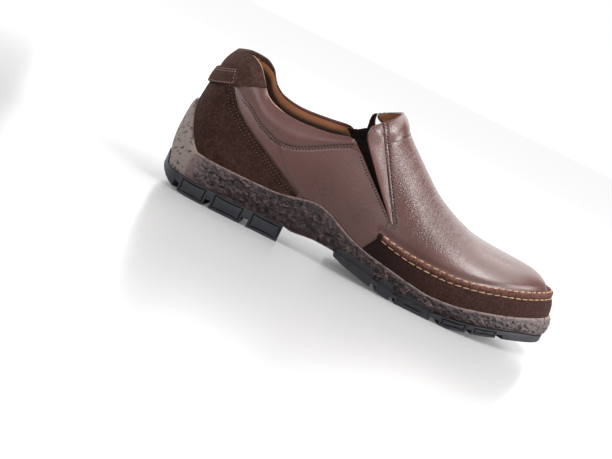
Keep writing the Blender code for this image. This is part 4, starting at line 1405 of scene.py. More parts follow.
# %% [markdown]
# ## Seams of the leather
# Dark stitches follow the collar in two rows and run beside the flap and the gore.
# Each path is found on the last from the same lines that made the grooves.

# %% Seams of the leather
COLLAR_SPREAD = 1.15


def along_height_line(side, first_x, last_x, line, count=160):
    """Thetas and girths along a line given as height over x."""
    theta = around(np.linspace(float(share_at(first_x)), float(share_at(last_x)), count), side)
    return theta, girth_on(theta, line)


def along_x_line(side, low, high, line, count=160):
    """Thetas and girths along a line given as x over height."""
    girth = girth_along(line, side, np.linspace(low, high, count))
    return around(share_on(girth, side, line), side), girth


def leather_row(theta, girth, sink=-0.1):
    return on_last(theta, girth, leather_relief(theta, girth)[0] + sink)


dark_rows = []
for side in (OUTER, INNER):
    for gap in COLLAR_ROWS:
        path = along_height_line(side, 31.0, 117.0, lambda x: collar_stitch(x) + COLLAR_SPREAD * gap)
        dark_rows.append(leather_row(*path))
    dark_rows.append(leather_row(*along_x_line(side, 49.0, 100.0, lambda z: flap_seam(z) + 2.3)))
    dark_rows.append(leather_row(*along_x_line(side, 44.0, 79.0, lambda z: gore_back(z) - 2.2)))
sew("leather_stitches", dark_rows, (1.65, 0.95, 0.9), 2.2, dark_thread)

# %% [markdown]
# ## Cuff stitches
# The row that holds the cuff runs over the ridge from one flap to the other, so it is found rib by rib:
# on each rib the girth at which the distance to the throat is the width of the cuff.

# %% Cuff stitches
def cuff_point(share, side, girth):
    point = bare_skin(around(share, side), girth)
    return point[..., 0], point[..., 2]


def cuff_row(share):
    """Path over the ridge at a distance from the throat's edge."""
    girth = np.linspace(0.72, 1.0, 60)
    halves = {}
    for side in (OUTER, INNER):
        found = halve(0.2, 0.95, lambda s: cuff_share(*cuff_point(s, side, girth)) - share)
        halves[side] = around(found, side)
    return np.concatenate((halves[OUTER], halves[INNER][::-1])), np.concatenate((girth, girth[::-1]))


theta, girth = cuff_row(CUFF_STITCH)
keep = ahead_of_line(*np.moveaxis(bare_skin(theta, girth), -1, 0)[[0, 2]], flap_seam) > 3.0
cuff_rows = [leather_row(theta[keep], girth[keep])]
sew("cuff_stitches", cuff_rows, (1.7, 0.85, 0.8), 2.5, dark_thread)

# %% [markdown]
# ## Elastic gores
# The gores are V-shaped pieces of elastic webbing behind the leather. Their ribs run up the shoe,
# so each is a fine panel with a ripple across it, set behind the wall, and a bound top edge.

# %% Elastic gores
GORE_SUNK = 3.0
GORE_MARGIN = 4.0
GORE_FOOT = 42.0
GORE_RIBS = 15
GORE_COLUMNS = 8 * GORE_RIBS + 1
GORE_ROWS = 60


def gore_place(girth, side):
    """Places across the gore at some girths, from its back margin to its front margin."""
    first = share_on(girth, side, lambda z: gore_back(z) - GORE_MARGIN)
    last = share_on(girth, side, lambda z: vamp_edge[side](z) + GORE_MARGIN)
    return around(first + (last - first) * np.linspace(0.0, 1.0, GORE_COLUMNS), side)


def gore_girth(side):
    """Girths of the gore's rows, from below its tip to its sloping top edge."""

    def over(girth):
        point = bare_skin(gore_place(girth, side), girth)
        return point[..., 2] - gore_top[side](point[..., 0])

    low = girth_along(gore_back, side, np.array([GORE_FOOT]))
    high = halve(np.full(GORE_COLUMNS, tip_girth), np.full(GORE_COLUMNS, 0.999), over)
    return between(low, high, GORE_ROWS)


ripple = 0.16 * np.cos(2.0 * math.pi * GORE_RIBS * np.linspace(0.0, 1.0, GORE_COLUMNS))[None, :]
bound = 0.35 * smooth_step((np.arange(GORE_ROWS) - GORE_ROWS + 4) / 2.0)[:, None]
for side, name in ((OUTER, "outer"), (INNER, "inner")):
    girth = gore_girth(side)
    gore_points = skin(gore_place(girth, side), girth, ripple + bound - GORE_SUNK)
    make_panel(
        "elastic_" + name, gore_points, [elastic], "black_elastic", ["gore_" + name],
        wall=(1.2, 0.3), flip=side == INNER,
    )

# %% [markdown]
# ## Flaps
# In front of each gore a strip of leather is sewn to the vamp. Its back edge is free and stands a
# little off the gore, its top rolls in, and at the top of the inner side it leaves a slit beside the
# cuff.

# %% Flaps
FLAP_LIFT = 0.6
FLAP_TILTS = {OUTER: 0.16, INNER: 0.06}
FLAP_CROWN = 0.4
FLAP_ROLL = 1.3
FLAP_LEAST = 0.3
FLAP_ROWS = 64
FLAP_COLUMNS = 16
FLAP_TOPS = {OUTER: 105.3, INNER: 107.2}

# Edges of the inner flap: the front lies beside the slit, the back is rounded. Columns: height, x
INNER_FLAP_FRONT = (
    (GORE_TIP, 165.2), (60.0, 157.2), (70.0, 150.6), (82.0, 143.2), (88.0, 139.2),
    (94.0, 132.2), (98.7, 127.4), (103.0, 125.6), (107.3, 125.0),
)
INNER_FLAP_BACK = (
    (GORE_TIP, 163.6), (53.0, 158.4), (60.0, 151.6), (70.0, 142.4), (80.0, 133.6),
    (88.0, 126.6), (94.0, 122.8), (97.0, 122.4), (100.6, 121.8), (104.2, 121.8),
    (106.0, 122.7), (107.0, 123.8), (107.3, 124.7),
)
flap_front = {OUTER: lambda z: flap_seam(z) - 1.2, INNER: smooth_line(INNER_FLAP_FRONT, 1)}
flap_back = {OUTER: lambda z: vamp_edge[OUTER](z) - 0.4, INNER: smooth_line(INNER_FLAP_BACK, 1)}

across = np.linspace(0.0, 1.0, FLAP_COLUMNS + 1)[None, :]
rolled = FLAP_ROLL * np.clip(np.linspace(-3.0, 1.0, FLAP_ROWS), 0.0, 1.0)[:, None] ** 2
for side, name in ((OUTER, "outer"), (INNER, "inner")):
    ends = girth_along(vamp_edge[side], side, np.array([GORE_TIP + 0.6, FLAP_TOPS[side]]))
    rows = np.linspace(*ends, FLAP_ROWS)
    first, last = share_on(rows, side, flap_back[side]), share_on(rows, side, flap_front[side])
    back_edge, front_edge = bare_skin(around(first, side), rows), bare_skin(around(last, side), rows)
    width = np.linalg.norm(front_edge - back_edge, axis=-1)[:, None]
    theta = around(first[:, None] + np.maximum(last - first, 0.001)[:, None] * across, side)
    girth = np.broadcast_to(rows[:, None], theta.shape)
    lift = FLAP_LIFT + FLAP_TILTS[side] * width * (1.0 - across) + FLAP_CROWN * np.sin(math.pi * across)
    lift = np.maximum(lift - rolled, FLAP_LEAST)
    make_panel(
        "leather_flap_" + name, skin(theta, girth, lift), [leather, heel_suede], "brown_leather",
        ["flap_" + name], wall=(1.2, 0.35), flip=side == INNER,
        flex=0.1, seam=0.6 * trough(across - 1.0, 0.06),
    )

# %% [markdown]
# ## Suede band round the toes
# The band lies on the leather between the rim of the sole and the moccasin seam. It bulges a little
# between both, and its back end leans forward, so each row starts at its own place. The rim follows its
# table, except at the back of the heel, where a bumper rises from it.

# %% Suede band
BUMPER_TOP = 62.0
BUMPER_SHARES = (0.03, 0.115)
BAND_LIFT = 1.5
BAND_BULGE = 0.5
BAND_LAP = 0.6
BAND_ROWS = 14
BAND_COLUMNS = 420
BAND_BACK = (153.5, 161.0)
BAND_SHADE_START, BAND_SHADE_RUN = 152.0, 75.0


def rim_height(theta):
    """Top of the sole's rim, with the bumper at the back of the heel."""
    turn = np.mod(theta, LOOP)
    first, last = BUMPER_SHARES
    fade = 1.0 - np.clip((np.minimum(turn, LOOP - turn) - first) / (last - first), 0.0, 1.0)
    return rim_line(edge_x(theta)) + (BUMPER_TOP - rim_line(0.0)) * fade ** 1.3


def toe_run(back_x, count):
    """Places round the toes, from an x on the outer side to the same share on the inner side."""
    start = float(share_at(back_x))
    return np.linspace(start, LOOP - start, count)


level = np.linspace(0.0, 1.0, BAND_ROWS)[:, None]
theta = np.stack([toe_run(x, BAND_COLUMNS) for x in np.linspace(*BAND_BACK, BAND_ROWS)])
low = girth_at(theta[0], rim_height(theta[0]) - BAND_LAP)
high = girth_on(theta[-1], lambda x: seam_low(x) + BAND_LAP)
band_lift = BAND_LIFT + BAND_BULGE * np.sin(math.pi * level)
band_points = skin(theta, between(low, high, BAND_ROWS), band_lift)
make_panel(
    "suede_band", band_points, [band_suede], "chocolate_suede", ["mudguard"], wall=(1.2, 0.35),
    # Painted shade: the band is darker towards its back end.
    seam=1.0 - smooth_step((band_points[..., 0] - BAND_SHADE_START) / BAND_SHADE_RUN),
)

# %% [markdown]
# ## Moccasin lip
# Above the band the edge of the vamp is gathered into a raised lip. Its section is a half round,
# and the gathers are small uneven puckers along it. Painted shade darkens the hollows between them and the
# lower part of the lip, and its ends are darker too.

# %% Moccasin lip
SEAM_BACK = 160.0
SEAM_ROWS = 18
SEAM_COLUMNS = 1200
LIP_EDGE = 0.5
LIP_PROUD = 2.2
LIP_DIP = 1.3
LIP_FADE = 24.0
GATHERS = 140
GATHER_DEPTH = 0.28


def lip(level):
    """Lift of the lip from its lower edge, 0, to its upper edge, 1."""
    dip = LIP_DIP * smooth_step((level - 0.75) / 0.25)
    return LIP_EDGE + LIP_PROUD * np.sin(math.pi * level) ** 0.75 - dip


theta = toe_run(SEAM_BACK, SEAM_COLUMNS)
lip_low = girth_on(theta, lambda x: seam_low(x) + FIT_GAP)
lip_high = girth_on(theta, lambda x: seam_high(x) - 1.2)
level = np.linspace(0.0, 1.0, SEAM_ROWS)[:, None]
run = np.linspace(0.0, 2.0 * math.pi * GATHERS, SEAM_COLUMNS)[None, :]
uneven = 0.65 + 0.35 * np.sin(run / 4.3 + 2.0 * np.sin(run / 9.7))
sway = 1.6 * level + 1.4 * np.sin(run / 7.3) + 1.1 * np.sin(run / 3.1)
gather = uneven * np.sin(run + sway) * np.sin(math.pi * level) ** 0.5
fade = end_fade(SEAM_COLUMNS, LIP_FADE)[None, :]
lift = 0.3 + (lip(level) + GATHER_DEPTH * gather) * (0.3 + 0.7 * fade)
# Painted shade: darker low on the lip and in the hollows between gathers; the ends are darker as well.
shaded = 0.05 + 0.5 * (np.clip(0.7 - level, 0.0, 1.0) + np.maximum(-gather, 0.0) + 1.0 - fade)
lip_points = skin(theta[None, :], between(lip_low, lip_high, SEAM_ROWS), lift)
make_panel(
    "gathered_lip", lip_points, [lip_suede], "brown_leather", ["apron_seam"], wall=(0.9, 0.25),
    flex=0.3, seam=np.clip(shaded, 0.0, 1.0),
)

# %% [markdown]
# ## Stitches of the lip
# Two rows of tan thread hold the lip, one at each of its edges. At both of its ends a bar tack,
# a short pile of dark stitches across the seam, keeps it from opening.

# %% Stitches of the lip
LOW_ROW, HIGH_ROW = -0.1, 0.84
SEWN_PART = slice(10, -10)
TACK_COLUMNS = (6, -7)
TACK_POINTS = 24


def lip_path(place, lift):
    """Path along the lip at a share of its width."""
    girth = lip_low + (lip_high - lip_low) * place
    return on_last(theta[SEWN_PART], girth[SEWN_PART], lift)


low_path = lip_path(LOW_ROW, BAND_LIFT + 0.2)
high_path = lip_path(HIGH_ROW, 0.75 + float(lip(np.array(HIGH_ROW))))
sew("tan_stitches_low", [low_path], (5.3, 0.85, 0.75), 5.9, tan_thread, slant=0.05)
sew("tan_stitches_high", [high_path], (4.5, 1.2, 1.2), 5.7, tan_thread, slant=0.14)
tack_rows = []
for column in TACK_COLUMNS:
    girth = np.linspace(lip_low[column], lip_high[column], TACK_POINTS) - 0.004
    tack_rows.append(on_last(np.full(TACK_POINTS, theta[column]), girth, 1.5))
sew("bar_tacks", tack_rows, (5.6, 1.2, 1.4), 1.15, dark_thread, slant=1.45)

# %% [markdown]
# ## Heel counter
# Dark suede wraps the heel: a counter below, cut along a slant, and a patch above it at the collar. The
# counter climbs from the rim of the sole to its slanting edge, and at the back to just under the patch.
# It sinks a little along the two rows where it will be stitched.

# %% Heel counter
WELD = 0.05
HEEL_WALL = (1.1, 0.35)
LEAST_GIRTH = 0.002
COUNTER_LIFT = 1.2
COUNTER_GROOVE = 0.4
COUNTER_ROWS = (2.6, 5.6)
PATCH_BACK_HEIGHT = 72.0
PATCH_SLOPE = 0.45
PATCH_LAP = 1.5
counter_rise = smooth_line(((14.0, 97.0),) + COUNTER, 1)


def patch_line(x):
    """Lower edge of the patch."""
    return PATCH_BACK_HEIGHT + PATCH_SLOPE * x


def counter_top(x):
    """Upper edge of the counter: under the patch at the back, along its own front edge ahead of it."""
    return np.minimum(patch_line(x) + PATCH_LAP, counter_line(x))


def heel_run(inner_share, outer_share, count):
    """Places round the heel, from the inner side to the outer side."""
    return np.linspace(-inner_share, outer_share, count)


end = float(share_at(COUNTER_END))
theta = heel_run(end, end, 300)
low = girth_at(theta, rim_height(theta) - 0.8)
high = np.maximum(girth_on(theta, counter_top), low + LEAST_GIRTH)
counter_girth = between(low, high, 70)
place = bare_skin(theta[None, :], counter_girth)
edge_gap = -over_line(place[..., 0], place[..., 2], counter_rise)
sewn = sum(trough(edge_gap - gap, 0.9) for gap in COUNTER_ROWS) * smooth_step((place[..., 0] - 17.0) / 4.0)
counter_points = skin(theta[None, :], counter_girth, COUNTER_LIFT - COUNTER_GROOVE * sewn)
make_panel(
    "suede_counter", counter_points, [heel_suede], "dark_suede", ["heel_counter"], HEEL_WALL, WELD,
    seam=0.8 * sewn,
)

# %% [markdown]
# ## Heel patch
# The patch covers the top of the heel. Its lower edge climbs forward in a straight line,
# so on each side it narrows until it ends under the top of the collar.

# %% Heel patch
PATCH_LIFT = 1.1


def patch_end(side):
    """Share along the foot at which the patch has narrowed under the collar."""
    return float(share_at(halve(30.0, 60.0, lambda x: patch_line(x) + PATCH_LAP - topline[side](x))))


theta = heel_run(patch_end(INNER), patch_end(OUTER), 220)
low = girth_on(theta, patch_line)
tops = {side: girth_on(theta, lambda x: topline[side](x) + 0.4) for side in (OUTER, INNER)}
high = np.where(side_of(theta) == OUTER, tops[OUTER], tops[INNER])
patch_girth = between(low, np.maximum(high, low + LEAST_GIRTH), 40)
patch_points = skin(theta[None, :], patch_girth, PATCH_LIFT)
make_panel("suede_patch", patch_points, [patch_suede], "dark_suede", ["heel_patch"], HEEL_WALL, WELD)

# %% [markdown]
# ## Strap at the heel
# A short strap crosses the back along the lower edge of the patch. It is held at its ends and stands a
# little proud between them, with a faint ribbing across. Rose-brown thread runs along its edges.

# %% Strap at the heel
STRAP_LIFT = 2.2
STRAP_RISE = 1.0
STRAP_WIDTH = 11.0
STRAP_END_Y = 31.5
STRAP_FLARE = 0.012
STRAP_PROUD = 1.6
STRAP_RIBBING = 0.12
STRAP_ROWS = 24
STRAP_COLUMNS = 120

strap_end = float(halve(0.0, 0.15, lambda share: -edge_y(share) - STRAP_END_Y))
level = np.linspace(0.0, 1.0, STRAP_ROWS)[:, None]
across = np.linspace(-1.0, 1.0, STRAP_COLUMNS)[None, :]
theta = (strap_end + STRAP_FLARE * (1.0 - level)) * across
low = girth_on(theta[0], lambda x: patch_line(x) + STRAP_RISE)
high = girth_on(theta[-1], lambda x: patch_line(x) + STRAP_RISE + STRAP_WIDTH)
strap_girth = between(low, high, STRAP_ROWS)
loose = STRAP_PROUD * (1.0 - across ** 2) * np.sin(math.pi * (0.15 + 0.7 * level))
strap_lift = STRAP_LIFT + loose + STRAP_RIBBING * np.sin(9.0 * math.pi * level)
strap_points = skin(theta, strap_girth, strap_lift)
make_panel("suede_strap", strap_points, [patch_suede], "dark_suede", ["heel_loop"], wall=(1.0, 0.4))

along_strap = [(row, slice(3, -3)) for row in (-3, -6, 2)]
across_strap = [(slice(2, -2), column) for column in (4, -5)]
rose_rows = [
    on_last(theta[cut], strap_girth[cut], strap_lift[cut] + 0.05)
    for cut in along_strap + across_strap
]
sew("rose_stitches", rose_rows, (1.7, 0.55, 0.5), 2.1, rose_thread)

# %% [markdown]
# ## Counter stitches
# Two rows of brown thread follow the slanting edge of the counter, in the grooves made for them.
# They stop where the patch covers the counter.

# %% Counter stitches
def beside(line, x, gap):
    """Height of a line that runs at a distance below another."""
    slope = line(x + 0.5) - line(x - 0.5)
    return line(x) - gap * np.sqrt(1.0 + slope ** 2)


counter_rows = []
for side in (OUTER, INNER):
    for gap in COUNTER_ROWS:
        theta, girth = along_height_line(side, 19.0, 92.0, lambda x: beside(counter_rise, x, gap))
        place = bare_skin(theta, girth)
        keep = place[..., 2] < patch_line(place[..., 0])
        counter_rows.append(on_last(theta[keep], girth[keep], COUNTER_LIFT - 0.25))
sew("counter_stitches", counter_rows, (1.4, 0.85, 0.8), 2.4, brown_thread)

# %% [markdown]
# ## Sole unit
# The sole unit goes round the shoe with the same section everywhere: underside, side wall, rim and
# pocket. One grid is pulled round it, with a row for each place in the section and a column for each
# rib.

# %% Grid of the sole unit
SOLE_COLUMNS = 1400
WALL_ROWS = 40
CORNER_INSET = 2.2
WRAP_DEPTH = 9.0
WRAP_RISE = 11.0
WRAP_FRONT = 19.0

# Columns: share of the wall's height, inset
SIDE_WALL = ((0.0, CORNER_INSET), (0.18, 0.6), (0.4, 0.0), (0.7, 0.5), (0.92, 1.6), (1.0, 2.8))
wall_inset = smooth_line(SIDE_WALL, 1)


def under_height(theta, inset, x):
    """Underside of the sole unit, lifted at the back edge where the tread wraps up."""
    fade = 1.0 - smooth_step((np.abs(edge_y(theta)) - 8.0) / 11.0)
    near_edge = np.clip(1.0 - inset / WRAP_DEPTH, 0.0, 1.0)
    return under_line(x) + np.where(x < WRAP_FRONT, WRAP_RISE * fade * near_edge, 0.0)


def ring_points(theta, insets, heights):
    """Grid of a sole piece: a row for each place in its section, a column for each rib."""
    rows = [np.concatenate((plan(theta, i), h[:, None]), axis=-1) for i, h in zip(insets, heights)]
    return np.stack(rows)


theta = np.linspace(0.0, LOOP, SOLE_COLUMNS + 1)
edge, spine, length = rib(theta)
rim, foot = rim_height(theta), pocket_floor(theta)
low = under_height(theta, CORNER_INSET, edge_x(theta))
wall_shares = np.linspace(0.0, 1.0, WALL_ROWS)
pocket_shares = (1.0, 0.5, 0.0)
under_insets = [length, length * 0.6, np.full_like(theta, WRAP_DEPTH)]
wall_insets = [np.full_like(theta, float(wall_inset(share))) for share in wall_shares]
pocket_insets = [skin_inset(theta, foot + (rim - foot) * share) - SEAT_GAP for share in pocket_shares]
bed_insets = [length * 0.5, length]
heights = [under_height(theta, inset, plan(theta, inset)[:, 0]) for inset in under_insets]
heights += [low + (rim - low) * share for share in wall_shares]
heights += [foot + (rim - foot) * share for share in pocket_shares]
heights += [floor_line(plan(theta, inset)[:, 0]) for inset in bed_insets]
points = ring_points(theta, under_insets + wall_insets + pocket_insets + bed_insets, heights)
print("rows and columns of the sole unit:", points.shape[:2])

# %% [markdown]
# ## Rock on the wall
# The wall looks like chipped stone. Voronoi noise parts it into cells, and each cell is a small flat
# face that leans its own way; large chips, small chips and a little grit add up. The rim's top and the
# bumper stay smooth. Blender's noise takes a new seed at each start, so a fixed seed keeps the same
# stone every time.

# %% Rock on the wall
ROCK_SEED = 5
ROCK_HEIGHT = 2.2
ROCK_FLAT = 0.85
PLAIN_RELIEF = 0.75


def chip(place):
    """Height on chipped stone: each cell is a small flat face that leans its own way."""
    middle = noise.voronoi(place)[1][0]
    return (place - middle).dot(noise.noise_vector(middle * 5.3))


def rock(point):
    """Height of the rocky texture at a point of the wall, from 0 in hollows to its flat crests."""
    place = Vector(point)
    warped = place + 1.4 * noise.noise_vector(place / 3.0)
    slanted = Vector((warped.x + 0.7 * warped.z, warped.y, warped.z))
    large = chip(Vector((slanted.x / 5.0, slanted.y / 5.0, slanted.z / 3.2)))
    small = chip(Vector((slanted.x / 2.3, slanted.y / 2.3, slanted.z / 1.6)) + Vector((7.0, 3.0, 5.0)))
    grit = noise.noise(place / 0.8)
    return max(0.0, min(ROCK_FLAT, 0.5 + 0.75 * large + 0.6 * small + 0.14 * grit))


noise.seed_set(ROCK_SEED)
outward = np.concatenate(((edge - spine) / length[:, None], np.zeros((len(theta), 1))), axis=1)
relief = np.full(points.shape[:2], PLAIN_RELIEF)
for row, share in enumerate(wall_shares, start=len(under_insets)):
    for column in range(SOLE_COLUMNS):
        point = points[row, column]
        below_rim = (min(rim[column], rim_line(point[0])) - point[2]) / 1.6
        past_bumper = smooth_step((point[0] - 16.0) / 16.0)
        mask = float(smooth_step(share / 0.06) * smooth_step(below_rim) * past_bumper)
        height = rock(point)
        relief[row, column] = mask * height + (1.0 - mask)
        rugged = ROCK_HEIGHT * (1.3 - 0.3 * float(smooth_step((point[0] - 60.0) / 60.0)))
        points[row, column] += outward[column] * mask * rugged * (height - 0.5)
points[:, -1] = points[:, 0]
relief[:, -1] = relief[:, 0]
make_panel("sole_unit", points, [wall_rubber], "sole_rubber", ["midsole"], weld=WELD, relief=relief)

# %% [markdown]
# ## Insole
# The footbed is a thin tan pad on the pocket's floor. Its edge is rounded and a little higher than its
# middle.

# %% Insole
INSOLE_INSET = 7.5
INSOLE_GAP = 0.3
INSOLE_SIDE = 3.3
INSOLE_THICKNESS = 4.0
INSOLE_EDGE = INSOLE_THICKNESS + 0.2

theta = np.linspace(0.0, LOOP, 361)
length = rib(theta)[2]
whole = np.ones_like(theta)
bed_rows = (
    (length, INSOLE_GAP),
    (length * 0.5, INSOLE_GAP),
    (INSOLE_INSET * whole, INSOLE_GAP),
    (INSOLE_INSET * whole, INSOLE_SIDE),
    ((INSOLE_INSET + 0.5) * whole, INSOLE_EDGE),
    ((INSOLE_INSET + 4.0) * whole, INSOLE_EDGE),
    (length * 0.5, INSOLE_THICKNESS),
    (length, INSOLE_THICKNESS),
)
insets = [inset for inset, lift in bed_rows]
heights = [floor_line(plan(theta, inset)[:, 0]) + lift for inset, lift in bed_rows]
bed_points = ring_points(theta, insets, heights)
make_panel("footbed", bed_points, [footbed_leather], "tan_footbed", ["insole"], weld=WELD)

# %% [markdown]
# ## Tread
# The lugs of the tread already have their places in the part, so each tread piece starts as a welded
# copy of its node. Insets then sink a grooved frame into the side of the lugs, except the first and the
# last, and a bevel takes the sharp edges off, as a mould does.

# %% Tread
LUG_MARGIN = 0.2

# Columns: start and end of each lug along the shoe
HEEL_LUGS = ((0.0, 14.0), (18.5, 40.0), (44.5, 69.0), (74.0, 98.0))
FORE_LUGS = (
    (138.0, 169.0), (173.5, 185.0), (189.0, 216.0),
    (223.0, 243.0), (247.0, 265.0), (270.0, SHOE_LENGTH),
)
outline_points = (outline - CENTRE[:2]) * MM
outline_edge, outline_spine, outline_length = rib(np.linspace(0.0, LOOP, len(outline)))
outline_out = (outline_edge - outline_spine) / outline_length[:, None]


def faces_out(face):
    """Whether a face looks straight out from the edge of the sole."""
    middle = np.array(face.calc_center_median())[:2]
    gaps = np.linalg.norm(outline_points - middle, axis=1)
    nearest = int(np.argmin(gaps))
    return gaps[nearest] < 3.0 * MM and float(np.array(face.normal)[:2] @ outline_out[nearest]) > 0.75


def lug_side(shape, start, end, side):
    """Faces of a lug that look out on one side of the shoe."""
    group = []
    for face in shape.faces:
        middle = np.array(face.calc_center_median()) / MM + CENTRE
        within = start - LUG_MARGIN < middle[0] < end + LUG_MARGIN
        if within and middle[1] * side > 4.0 and faces_out(face):
            group.append(face)
    return group


# %% [markdown]
# ## Tread pieces
# A groove is three insets: one leaves the border, one sinks and one comes up again.
# Afterwards every sharp edge gets a small bevel with two segments.

# %% Tread pieces
FRAME_WIDTH = 1.5
FRAME_GROOVE = 0.6
FRAME_DEPTH = 1.7
LUG_ROUND = 0.35
SHARP = math.radians(40.0)


def groove_frame(shape, faces):
    """Sinks a narrow groove at a distance inside the border of a group of faces."""
    bmesh.ops.inset_region(shape, faces=faces, thickness=FRAME_WIDTH * MM)
    for depth in (-FRAME_DEPTH, FRAME_DEPTH):
        bmesh.ops.inset_region(shape, faces=faces, thickness=FRAME_GROOVE * MM, depth=depth * MM)


def tread(node, name, lugs):
    """A tread piece from its node, with framed lugs and rounded edges."""
    shape = bmesh.new()
    shape.from_mesh(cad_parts[node].data)
    bmesh.ops.remove_doubles(shape, verts=shape.verts, dist=0.01 * MM)
    shape.normal_update()
    for start, end in lugs:
        for side in (OUTER, INNER):
            group = lug_side(shape, start, end, side)
            if len(group) > 1 and start > 1.0 and end < SHOE_LENGTH - 1.0:
                groove_frame(shape, group)
    sharp = [e for e in shape.edges if len(e.link_faces) == 2 and e.calc_face_angle() > SHARP]
    bmesh.ops.bevel(
        shape, geom=sharp, offset=LUG_ROUND * MM, offset_type="OFFSET", affect="EDGES",
        segments=2, profile=0.5, material=-1, clamp_overlap=True,
    )
    finish_piece(shape, name, [tread_rubber], [node])


tread("outsole_heel", "heel_tread", HEEL_LUGS)
tread("outsole_forefoot", "forefoot_tread", FORE_LUGS)

# %% [markdown]
# ## Lug cheeks
# Behind the ball of the foot the sides of three lugs rise onto the wall. Each is a small curved plate
# over its lug, and the last has a framed groove.

# %% Lug cheeks
CHEEK_PROUD = 0.9
CHEEK_ROWS = 24
CHEEK_STEP = 0.5

# Columns: start, end, rise onto the wall, depth of the groove
CHEEKS = ((138.6, 169.0, 5.0, 0.0), (173.5, 185.0, 4.6, 0.0), (189.0, 216.0, 3.2, 1.0))

# Faces of these lugs towards the floor. Columns: x, height
FORE_TREAD = (
    (136.0, 9.6), (144.0, 7.3), (155.0, 4.9), (167.0, 2.6), (178.0, 1.0), (188.0, 0.0), (228.0, 0.0),
)
tread_line = smooth_line(FORE_TREAD, 1)

shape = bmesh.new()
for side in (OUTER, INNER):
    for start, end, rise, groove in CHEEKS:
        along = np.linspace(start, end, round((end - start) / CHEEK_STEP))
        theta = around(share_at(along), side)
        from_end = np.minimum(along - start, end - along)
        low = tread_line(along) + 0.4 + 0.8 * (1.0 - smooth_step(from_end / 1.5))
        high = under_line(along) + rise * np.sqrt(np.clip(from_end / 2.0, 0.3, 1.0))
        height = between(low, high, CHEEK_ROWS)
        share = np.clip((height - under_line(along)) / (rim_height(theta) - under_line(along)), 0.0, 1.0)
        border = np.minimum(np.minimum(height - low, high - height), from_end)
        inset = wall_inset(share) - CHEEK_PROUD + groove * trough(border - 2.2, 0.45)
        made = pull(shape, ring_points(theta, inset, height))
        if side == INNER:
            fresh = {face for vertex in made for face in vertex.link_faces}
            bmesh.ops.reverse_faces(shape, faces=list(fresh))
cheeks = finish_piece(shape, "lug_cheeks", [tread_rubber], ["outsole_forefoot"])
thicken(cheeks, 1.6, 0.4)

# %% [markdown]
# ## Floor and surroundings
# The shoe stands on white, under large soft lamps. A pale, slightly glossy floor and a white world give
# the broad soft reflections. Both look brighter to the camera than they are to the shoe, so that the
# background comes out white while the leather stays dark.

# %% Floor and surroundings
FLOOR_REACH = 4.0
FLOOR_DROP = 0.0002
WHITE = opaque((1.0, 1.0, 1.0))


def floor_finish():
    """Pale floor; far from the shoe it glows for the camera alone, as a lit backdrop does."""
    made, tree, shader, place = new_finish("pale floor")
    dark, light = opaque((0.46, 0.46, 0.46)), opaque((0.48, 0.48, 0.48))
    tone = use_group(tree, cloudy, Vector=place, Scale=3.0, Dark=dark, Light=light)
    away = add(tree, "VectorMath", {"operation": "LENGTH"}, Vector=place).outputs["Value"]
    far = add(tree, "MapRange", SOFT, Value=away, From_Min=0.1, From_Max=0.9).outputs[0]
    seen = add(tree, "LightPath").outputs["Is Camera Ray"]
    glow = reckon(tree, "MULTIPLY", seen, spread(tree, far, 0.1, 0.8))
    fill(tree, shader, Base_Color=tone["Colour"], Roughness=0.22, Specular_IOR_Level=0.4)
    fill(tree, shader, Emission_Color=WHITE, Emission_Strength=glow)
    return made


shape = bmesh.new()
lowered = Matrix.Translation((0.0, 0.0, -FLOOR_DROP))
bmesh.ops.create_grid(shape, x_segments=8, y_segments=8, size=FLOOR_REACH, matrix=lowered)
floor_mesh = bpy.data.meshes.new("floor")
shape.to_mesh(floor_mesh)
shape.free()
floor_mesh.materials.append(floor_finish())
floor = bpy.data.objects.new("floor", floor_mesh)
bpy.context.scene.collection.objects.link(floor)

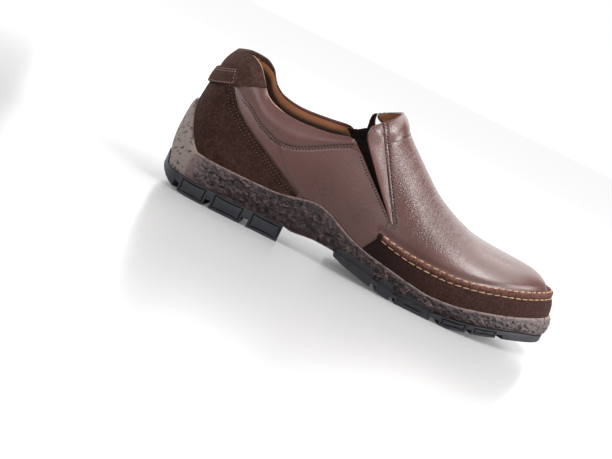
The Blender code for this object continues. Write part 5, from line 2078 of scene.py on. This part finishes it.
world = bpy.data.worlds.new("white studio")
world.use_nodes = True
sky = world.node_tree
seen = add(sky, "LightPath").outputs["Is Camera Ray"]
fill(sky, sky.nodes["Background"], Color=WHITE, Strength=spread(sky, seen, 0.2, 1.0))
bpy.context.scene.world = world
bpy.context.scene.view_settings.view_transform = "Standard"
print("floor:", 2.0 * FLOOR_REACH, "m wide")

# %% [markdown]
# ## Lamps
# Ten softboxes stand round the shoe and shape its highlights: large ones for the broad sheen, small
# ones for the bright spots. They aim at the middle of the shoe and are not seen by the camera
# themselves.

# %% Lamps
AIM = Vector((0.0, 0.0, 0.05))

# Columns: name, direction from the shoe, distance, width and height, power
LAMPS = (
    ("long softbox above", (0.43, 0.12, 0.9), 1.2, (1.6, 0.5), 9.0),
    ("small softbox above", (0.43, -0.38, 0.82), 1.3, (0.34, 0.46), 7.0),
    ("small softbox at the right", (0.46, -0.77, 0.45), 1.3, (0.42, 0.42), 0.8),
    ("small softbox at the left", (-0.3, -0.9, 0.3), 1.3, (0.46, 0.42), 1.8),
    ("softbox beside the heel", (-0.7, -0.55, 0.45), 1.3, (0.8, 0.8), 7.0),
    ("softbox in front", (0.1, -0.85, 0.5), 1.5, (1.4, 1.0), 1.0),
    ("softbox behind", (0.28, 0.74, 0.61), 1.3, (0.7, 0.6), 2.0),
    ("low softbox behind", (0.1, 0.95, 0.25), 1.4, (1.4, 0.7), 4.0),
    ("softbox at the heel", (-0.75, 0.5, 0.25), 1.2, (0.9, 0.8), 6.0),
    ("softbox at the toe", (0.9, -0.15, 0.35), 1.2, (0.7, 0.7), 13.5),
)
for name, direction, distance, size, power in LAMPS:
    lamp = bpy.data.lights.new(name, "AREA")
    lamp.shape = "RECTANGLE"
    lamp.size, lamp.size_y = size
    lamp.energy = power
    softbox = bpy.data.objects.new(name, lamp)
    softbox.location = AIM + Vector(direction).normalized() * distance
    softbox.rotation_mode = "QUATERNION"
    softbox.rotation_quaternion = Vector(direction).to_track_quat("Z", "Y")
    softbox.visible_camera = False
    bpy.context.scene.collection.objects.link(softbox)
print("lamps:", [row[0] for row in LAMPS])

# %% [markdown]
# ## Update
# At the end the scene is brought up to date.

# %% Update
bpy.context.view_layer.update()
